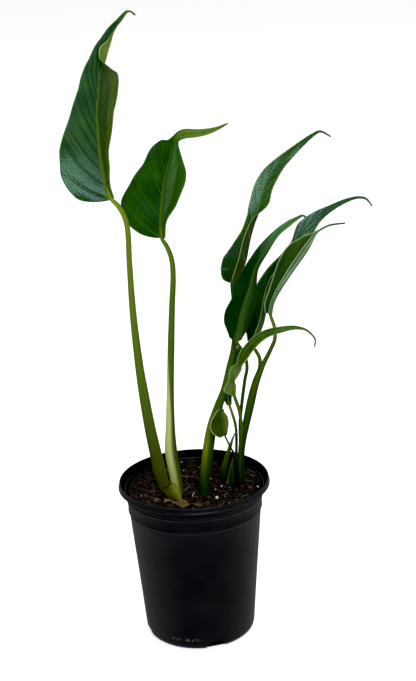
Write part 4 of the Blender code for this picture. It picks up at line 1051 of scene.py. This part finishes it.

# The olive leaf is folded along its midrib, with a pale grey-green underside on the right that carries a
# painted highlight and, by the fold, painted shade
oliveLeaf = {
    "replaces": "leaf_olive", "slot": "leaf_olive", "lobes": (-2, 0), "lengths": 140, "ribWidth": 1.6,
    "veinSpacing": 13.0, "veinStart": (1.5, 1.5), "grooveDepth": 0.15, "pillow": 0.15,
    "rows": [
        (68, 5, 276, 4.6, 20, 3, 140), (70, 4.5, 285, 7.1, 25, 2.7, 155), (74.5, 4, 294, 8.7, 25, 3.6, 158),
        (81, 3, 304, 11.7, 22, 4.4, 158), (88, 2, 314, 15.6, 20, 5.6, 158),
        (94.5, 1, 323, 17.1, 18, 6.5, 158), (100, 0, 331.5, 13.9, 16, 6.2, 156),
        (103.5, -2, 339, 7.7, 14, 4.3, 150), (106, -4, 344, 3, 40, 3, 140),
        (110, -6, 347.5, 2.2, 70, 2.2, 100), (117, -8, 351, 1.7, 75, 1.7, 95),
        (128, -12, 353, 0.7, 80, 0.7, 90),
    ],
    "upper": {
        "deep": "#1c3600", "middle": "#2c4800", "pale": "#3c5a04", "vein": "#3a5c0c", "midrib": "#3c5804",
        "margin": "#8a9c64", "marginShare": 0.85,
        "zones": [("#0e3002", 12.0, 42.0), ("#2c3a0c", 104.0, 80.0)],
    },
    "lower": {
        "deep": "#34502c", "middle": "#4a663c", "pale": "#627c50", "vein": "#6c845c", "midrib": "#3c5a28",
        "margin": "#7c8c70",
        # Its bands: the dark one by the fold is painted shade, the pale one about a third of the way out is a
        # painted highlight, and the rest is its grey-green underside
        "rightBands": [
            (0.0, "#1c3408"), (0.16, "#3c5828"), (0.3, "#98a48c"), (0.42, "#4a6638"), (0.75, "#2c4a20"),
            (1.0, "#6f8064"),
        ],
        "rightShare": 0.95,
    },
}
makeBlade("oliveLeaf", oliveLeaf)

oliveStalk = {
    "replaces": "stalk_olive", "slot": "dark_stalk", "leaf": oliveLeaf,
    "rows": [
        (40.7, 16.6, 126, 4.4, 4.0, 0), (40.9, 16.8, 148, 4.6, 4.0, 0.2), (43, 17, 164, 5.4, 4.4, 0.3),
        (46.4, 16.4, 180, 6.4, 4.6, 0.35), (50, 15, 195, 6.6, 4.6, 0.3), (54.6, 12.6, 213, 5.6, 4.2, 0.2),
        (60.8, 10, 230, 4.2, 3.6, 0), (67, 8, 243, 3.4, 3.2, 0), (71.2, 6.6, 253.5, 3.2, 3.0, 0),
        (71.2, 5.4, 264, 3.0, 2.9, 0), (68.2, 5, 275, 2.6, 2.4, 0),
    ],
    "look": {
        "stops": [
            (0.0, "#0c1a00"), (0.25, "#263c00"), (0.5, "#304a02"), (0.75, "#385200"), (0.9, "#567004"),
            (1.0, "#4c6400"),
        ],
        "rightSideShading": "#0c2600", "rightShare": 0.8,
    },
}
makeStalk("oliveStalk", oliveStalk)

# The small curled leaf in front is greyer over its first 22 mm
curledLeaf = {
    "replaces": "leaf_curled", "slot": "leaf_olive", "lengths": 150, "columns": 32, "ribWidth": 1.4,
    "veinSpacing": 12.0, "veinStart": (1.8, 1.8), "grooveDepth": 0.1, "pillow": 0.1, "waves": 0.3,
    "rows": [
        (36, -11, 213.3, 1.5, 20, 1.5, 0), (34.4, -12, 221, 8, 35, 3.8, 20), (34.6, -13, 228, 4, 50, 4, 55),
        (37.5, -14, 236, 4.2, 20, 4.8, 15), (41.2, -16, 243, 4, 60, 5, 60),
        (44.4, -18, 250.5, 3.4, 30, 6.5, 55), (49.3, -20, 258, 3.2, 20, 6, 50),
        (55.8, -22, 264.5, 3.2, 10, 4.8, 40), (63.8, -24, 269.4, 3, 0, 3.6, 30),
        (73.3, -26, 272.2, 2.6, 0, 2.8, 20), (84.3, -28, 274.2, 1.7, 0, 1.8, 10),
        (92.8, -30, 273.2, 1.0, 0, 1.0, 0), (98.2, -31, 269.4, 0.8, 0, 0.8, 0),
        (101.3, -32, 264.6, 0.7, 0, 0.7, 0), (100.5, -33, 259, 0.6, 0, 0.6, 0),
    ],
    "upper": {
        "deep": "#243e00", "middle": "#365000", "pale": "#4c680c", "vein": "#486812", "midrib": "#526612",
        "margin": "#7a9450", "marginShare": 0.8, "zones": [("#54602a", 22.0, 30.0)],
    },
}
makeBlade("curledLeaf", curledLeaf)

curledStalk = {
    "replaces": "stalk_curled", "slot": "olive_stalk", "leaf": curledLeaf,
    "rows": [
        (37.8, 8.6, 126, 2.7, 2.7, 0), (38.4, 7.4, 148, 2.7, 2.7, 0), (40.1, 5, 167, 2.7, 2.7, 0),
        (41, 1, 183, 2.8, 2.7, 0), (40, -4, 196.5, 2.9, 2.8, 0), (37.8, -8, 206, 2.9, 2.8, 0),
        (36.1, -11, 212.7, 2.8, 2.4, 0),
    ],
    "look": {
        "stops": [
            (0.0, "#081400"), (0.3, "#1c3000"), (0.6, "#3e4e02"), (0.85, "#3c5200"), (1.0, "#445200"),
        ],
        "rightSideShading": "#3a5004",
    },
}
makeStalk("curledStalk", curledStalk)

# The young leaf is nearly hidden behind the bundle
youngLeaf = {
    "replaces": "leaf_young", "slot": "leaf_green", "lengths": 60, "columns": 24, "ribWidth": 1.2,
    "veinSpacing": 9.0, "veinStart": (1.5, 1.5), "grooveDepth": 0.1, "pillow": 0.1, "waves": 0.2,
    "rows": [
        (32.4, 24, 191, 2.0, 10, 2.0, -10), (31.4, 24.6, 198, 3.6, 15, 3.6, -20),
        (33.6, 25.4, 209, 4.0, 20, 4.0, -30), (37.2, 26, 222, 3.4, 20, 3.6, -30),
        (40.8, 26.4, 234, 2.2, 20, 2.4, -20), (42.4, 26.6, 243, 0.7, 0, 0.7, 0),
    ],
    "upper": {
        "deep": "#0c2c10", "middle": "#143818", "pale": "#244c28", "vein": "#2f5830", "midrib": "#345828",
        "veinSpacing": 19.0,
    },
}
makeBlade("youngLeaf", youngLeaf)

youngStalk = {
    "replaces": "stalk_young", "slot": "olive_stalk", "leaf": youngLeaf,
    "rows": [
        (35, 14, 126, 2.4, 2.4, 0), (36, 15.4, 145, 2.4, 2.4, 0), (37, 17.2, 163, 2.4, 2.4, 0),
        (36.8, 18.8, 174, 2.4, 2.4, 0), (34.8, 21.6, 183, 2.4, 2.4, 0), (32.5, 24, 190.4, 2.2, 2.0, 0),
    ],
    "look": {
        "stops": [
            (0.0, "#081400"), (0.4, "#1c3004"), (0.7, "#3c5408"), (0.88, "#6c7c18"), (1.0, "#3c4c04"),
        ],
    },
}
makeStalk("youngStalk", youngStalk)

# The small cup-shaped first leaf, low in front
cupLeaf = {
    "replaces": "leaf_cup", "slot": "leaf_green", "curl": (30, 30), "lengths": 60, "columns": 32,
    "ribWidth": 1.2, "veinSpacing": 9.0, "veinStart": (1.2, 1.2), "grooveDepth": 0.1, "pillow": 0.1,
    "waves": 0.2,
    "rows": [
        (27.3, -11, 178, 5, 30, 1.6, -20), (26.9, -11.8, 182.6, 9.5, 24, 3.6, -30),
        (26.4, -12.2, 187.4, 11.4, 16, 5.4, -35), (25.6, -12, 193, 9.6, 10, 5.8, -35),
        (25.2, -11, 198.2, 5, 20, 3.4, -20), (26.4, -9.6, 201.4, 0.8, 0, 0.8, 0),
    ],
    "upper": {
        "deep": "#1c2c00", "middle": "#283a00", "pale": "#3c4e0a", "vein": "#3c4e0c", "midrib": "#485812",
        "margin": "#8a9a60", "marginShare": 0.9, "specular": 0.15,
        # The lighter bands on its right half are painted light
        "rightBands": [(0.0, "#304404"), (0.5, "#4c5e22"), (1.0, "#3c5014")], "rightShare": 0.8,
        "veinSpacing": 19.0,
    },
}
makeBlade("cupLeaf", cupLeaf)

cupStalk = {
    "replaces": "stalk_cup", "slot": "dark_stalk", "leaf": cupLeaf,
    "rows": [
        (37.6, 4.8, 126, 1.8, 1.8, 0), (37.4, 2.6, 141, 1.7, 1.7, 0), (36.8, -0.2, 151.5, 1.7, 1.7, 0),
        (34.2, -3, 159, 1.6, 1.6, 0), (31.1, -6.2, 166.3, 1.6, 1.6, 0), (28.8, -9, 173.3, 1.6, 1.6, 0),
        (27.4, -10.8, 177.5, 1.5, 1.5, 0),
    ],
    "look": {"stops": [(0.0, "#040c00"), (0.5, "#142404"), (1.0, "#2c4008")]},
}
makeStalk("cupStalk", cupStalk)

# Bud sheaths: thin dull scales that stand against the stalks and grow paler towards their tips. The tall one
# is channelled, and the short one is pale along its left edge.
tallSheath = {
    "replaces": "bud_sheath_tall", "slot": "bud_sheath",
    "rows": [
        (24, 14.4, 126, 5.4, 3.6, 0.45), (25, 14, 134, 5.6, 3.4, 0.5), (27.6, 13, 146, 4.8, 3.0, 0.5),
        (30.8, 12, 157, 3.4, 2.4, 0.4), (33.6, 11.2, 165.5, 2.0, 1.7, 0.2), (35.8, 10.4, 171.5, 0.9, 0.9, 0),
    ],
    "look": {
        "stops": [
            (0.0, "#0c1200"), (0.2, "#1c2a00"), (0.45, "#3c4c02"), (0.75, "#4c5c0c"), (1.0, "#6c7a2c"),
        ],
        "rightSideShading": "#182400", "rightShare": 0.6, "roughness": 0.5,
    },
}
makeStalk("tallSheath", tallSheath)

shortSheath = {
    "replaces": "bud_sheath_short", "slot": "bud_sheath",
    "rows": [
        (31, 8.6, 126, 7.0, 3.0, 0), (31.3, 8.2, 134, 5.6, 2.6, 0), (32.3, 7.8, 143, 3.2, 2.0, 0),
        (33.6, 7, 151, 1.2, 1.0, 0),
    ],
    "look": {
        "stops": [(0.0, "#0c1800"), (0.5, "#162c00"), (1.0, "#34440a")],
        "sheath": ("#5c6630", 96, 128, 150, -0.7, -0.6), "roughness": 0.5,
    },
}
makeStalk("shortSheath", shortSheath)
print("right plant made")

# Fallen bud scale: thin dead leaf tissue, crumpled and papery, brown with darker veins and frayed edges

dryScale = {
    "start": (-25, -23), "end": (6, -35.5), "halfWidth": 5.2, "seat": 1.4, "lift": 1.3, "thickness": 0.35,
    "lengths": 110, "columns": 28, "fray": 0.12,
    "torn": [  # share of the length, and how many half widths the near and the far edge reach out there
        (0.0, 0.1, 0.1), (0.1, 0.3, 0.9), (0.2, 0.7, 0.55), (0.3, 1.5, 0.8), (0.4, 0.8, 1.15),
        (0.47, 0.7, 0.7), (0.55, 0.75, 0.95), (0.68, 0.5, 0.5), (0.78, 0.75, 0.8), (0.88, 0.95, 0.2),
        (1.0, 1.1, -0.7),
    ],
}


def makePaperSkin():
    material, tree = startMaterial("dryLeafPaper")
    place = addNode(tree, "TexCoord", output="Object")
    # Fibres are 1 mm wide and 4 mm long and run along the scale; stains are about 5 mm across
    turned = addNode(tree, "Mapping", {"Vector": place, "Rotation": (0, 0, 0.375), "Scale": (0.25, 1, 1)})
    fibres = addNode(tree, "TexNoise", (turned, 0.9 / mm, 5.0))
    stains = addNode(tree, "TexNoise", (place, 0.22 / mm, 3.0))
    tone = addNode(tree, "Mix", (0.5, fibres, stains), data_type="FLOAT")
    body = addNode(tree, "ValToRGB", (tone,), [(0.36, "#2c1c0c"), (0.5, "#5a4226"), (0.66, "#80663c")])
    gloss = addNode(tree, "MapRange", (stains, 0.0, 1.0, 0.6, 0.85))
    relief = addNode(tree, "Bump", {"Height": fibres, "Strength": 0.7, "Distance": 0.5 * mm})
    return setSurface(material, {"Base Color": body, "Roughness": gloss, "Normal": relief,
                                 "Specular IOR Level": 0.2})


def makeDryScale():
    maker = bmesh.new()
    bmesh.ops.create_grid(maker, x_segments=dryScale["lengths"], y_segments=dryScale["columns"], size=1.0)
    start, end, torn = Vector(dryScale["start"]), Vector(dryScale["end"]), dryScale["torn"]
    turn = (end - start).normalized()
    for vert in maker.verts:
        along, aside = (vert.co.x + 1) / 2, vert.co.y
        index = max(i for i, row in enumerate(torn[:-1]) if row[0] <= along or i == 0)
        before, after = torn[index], torn[index + 1]
        step = (along - before[0]) / (after[0] - before[0])
        edge = [a + (b - a) * step for a, b in zip(before[1:], after[1:])][0 if aside < 0 else 1]
        edge += dryScale["fray"] * noise.noise(Vector((along * 34, 3 + math.copysign(2, aside), 0)))
        flat = start + (end - start) * along
        flat += Vector((-turn.y, turn.x)) * (aside * dryScale["halfWidth"] * edge + 1.6 * math.sin(along * 8))
        lift = dryScale["lift"] * (1 + math.sin(along * 12.5 + 2.0 * aside)) * (0.45 + 0.55 * abs(aside))
        lift += 0.35 * noise.noise(Vector((along * 14, aside * 2.5, 1.0)))
        vert.co = Vector((flat.x, flat.y, mixHeight(flat.x, flat.y) + dryScale["seat"] + lift)) * mm
    scale = finishPiece("dryScale", maker, [makePaperSkin()], "dry_papery_scale", "dry_bud_scale")
    body = scale.modifiers.new("paperBody", "SOLIDIFY")
    body.thickness = dryScale["thickness"] * mm
    body.offset = -1


makeDryScale()

# Buried crown: corky stem tissue with a grain of about 3 mm, hidden by the mix


def makeCrownSkin():
    cork, tree = startMaterial("corkyStemTissue")
    grain = addNode(tree, "TexNoise", (addNode(tree, "TexCoord", output="Object"), 0.3 / mm, 4.0))
    body = addNode(tree, "ValToRGB", (grain,), [(0.35, "#3a3010"), (0.65, "#7a7030")])
    relief = addNode(tree, "Bump", {"Height": grain, "Strength": 0.5, "Distance": 0.5 * mm})
    return setSurface(cork, {"Base Color": body, "Roughness": 0.8, "Normal": relief,
                             "Specular IOR Level": 0.3})


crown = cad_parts["crown_right"]
crown.material_slots[0].material = makeCrownSkin()
print("dry scale and crown made")
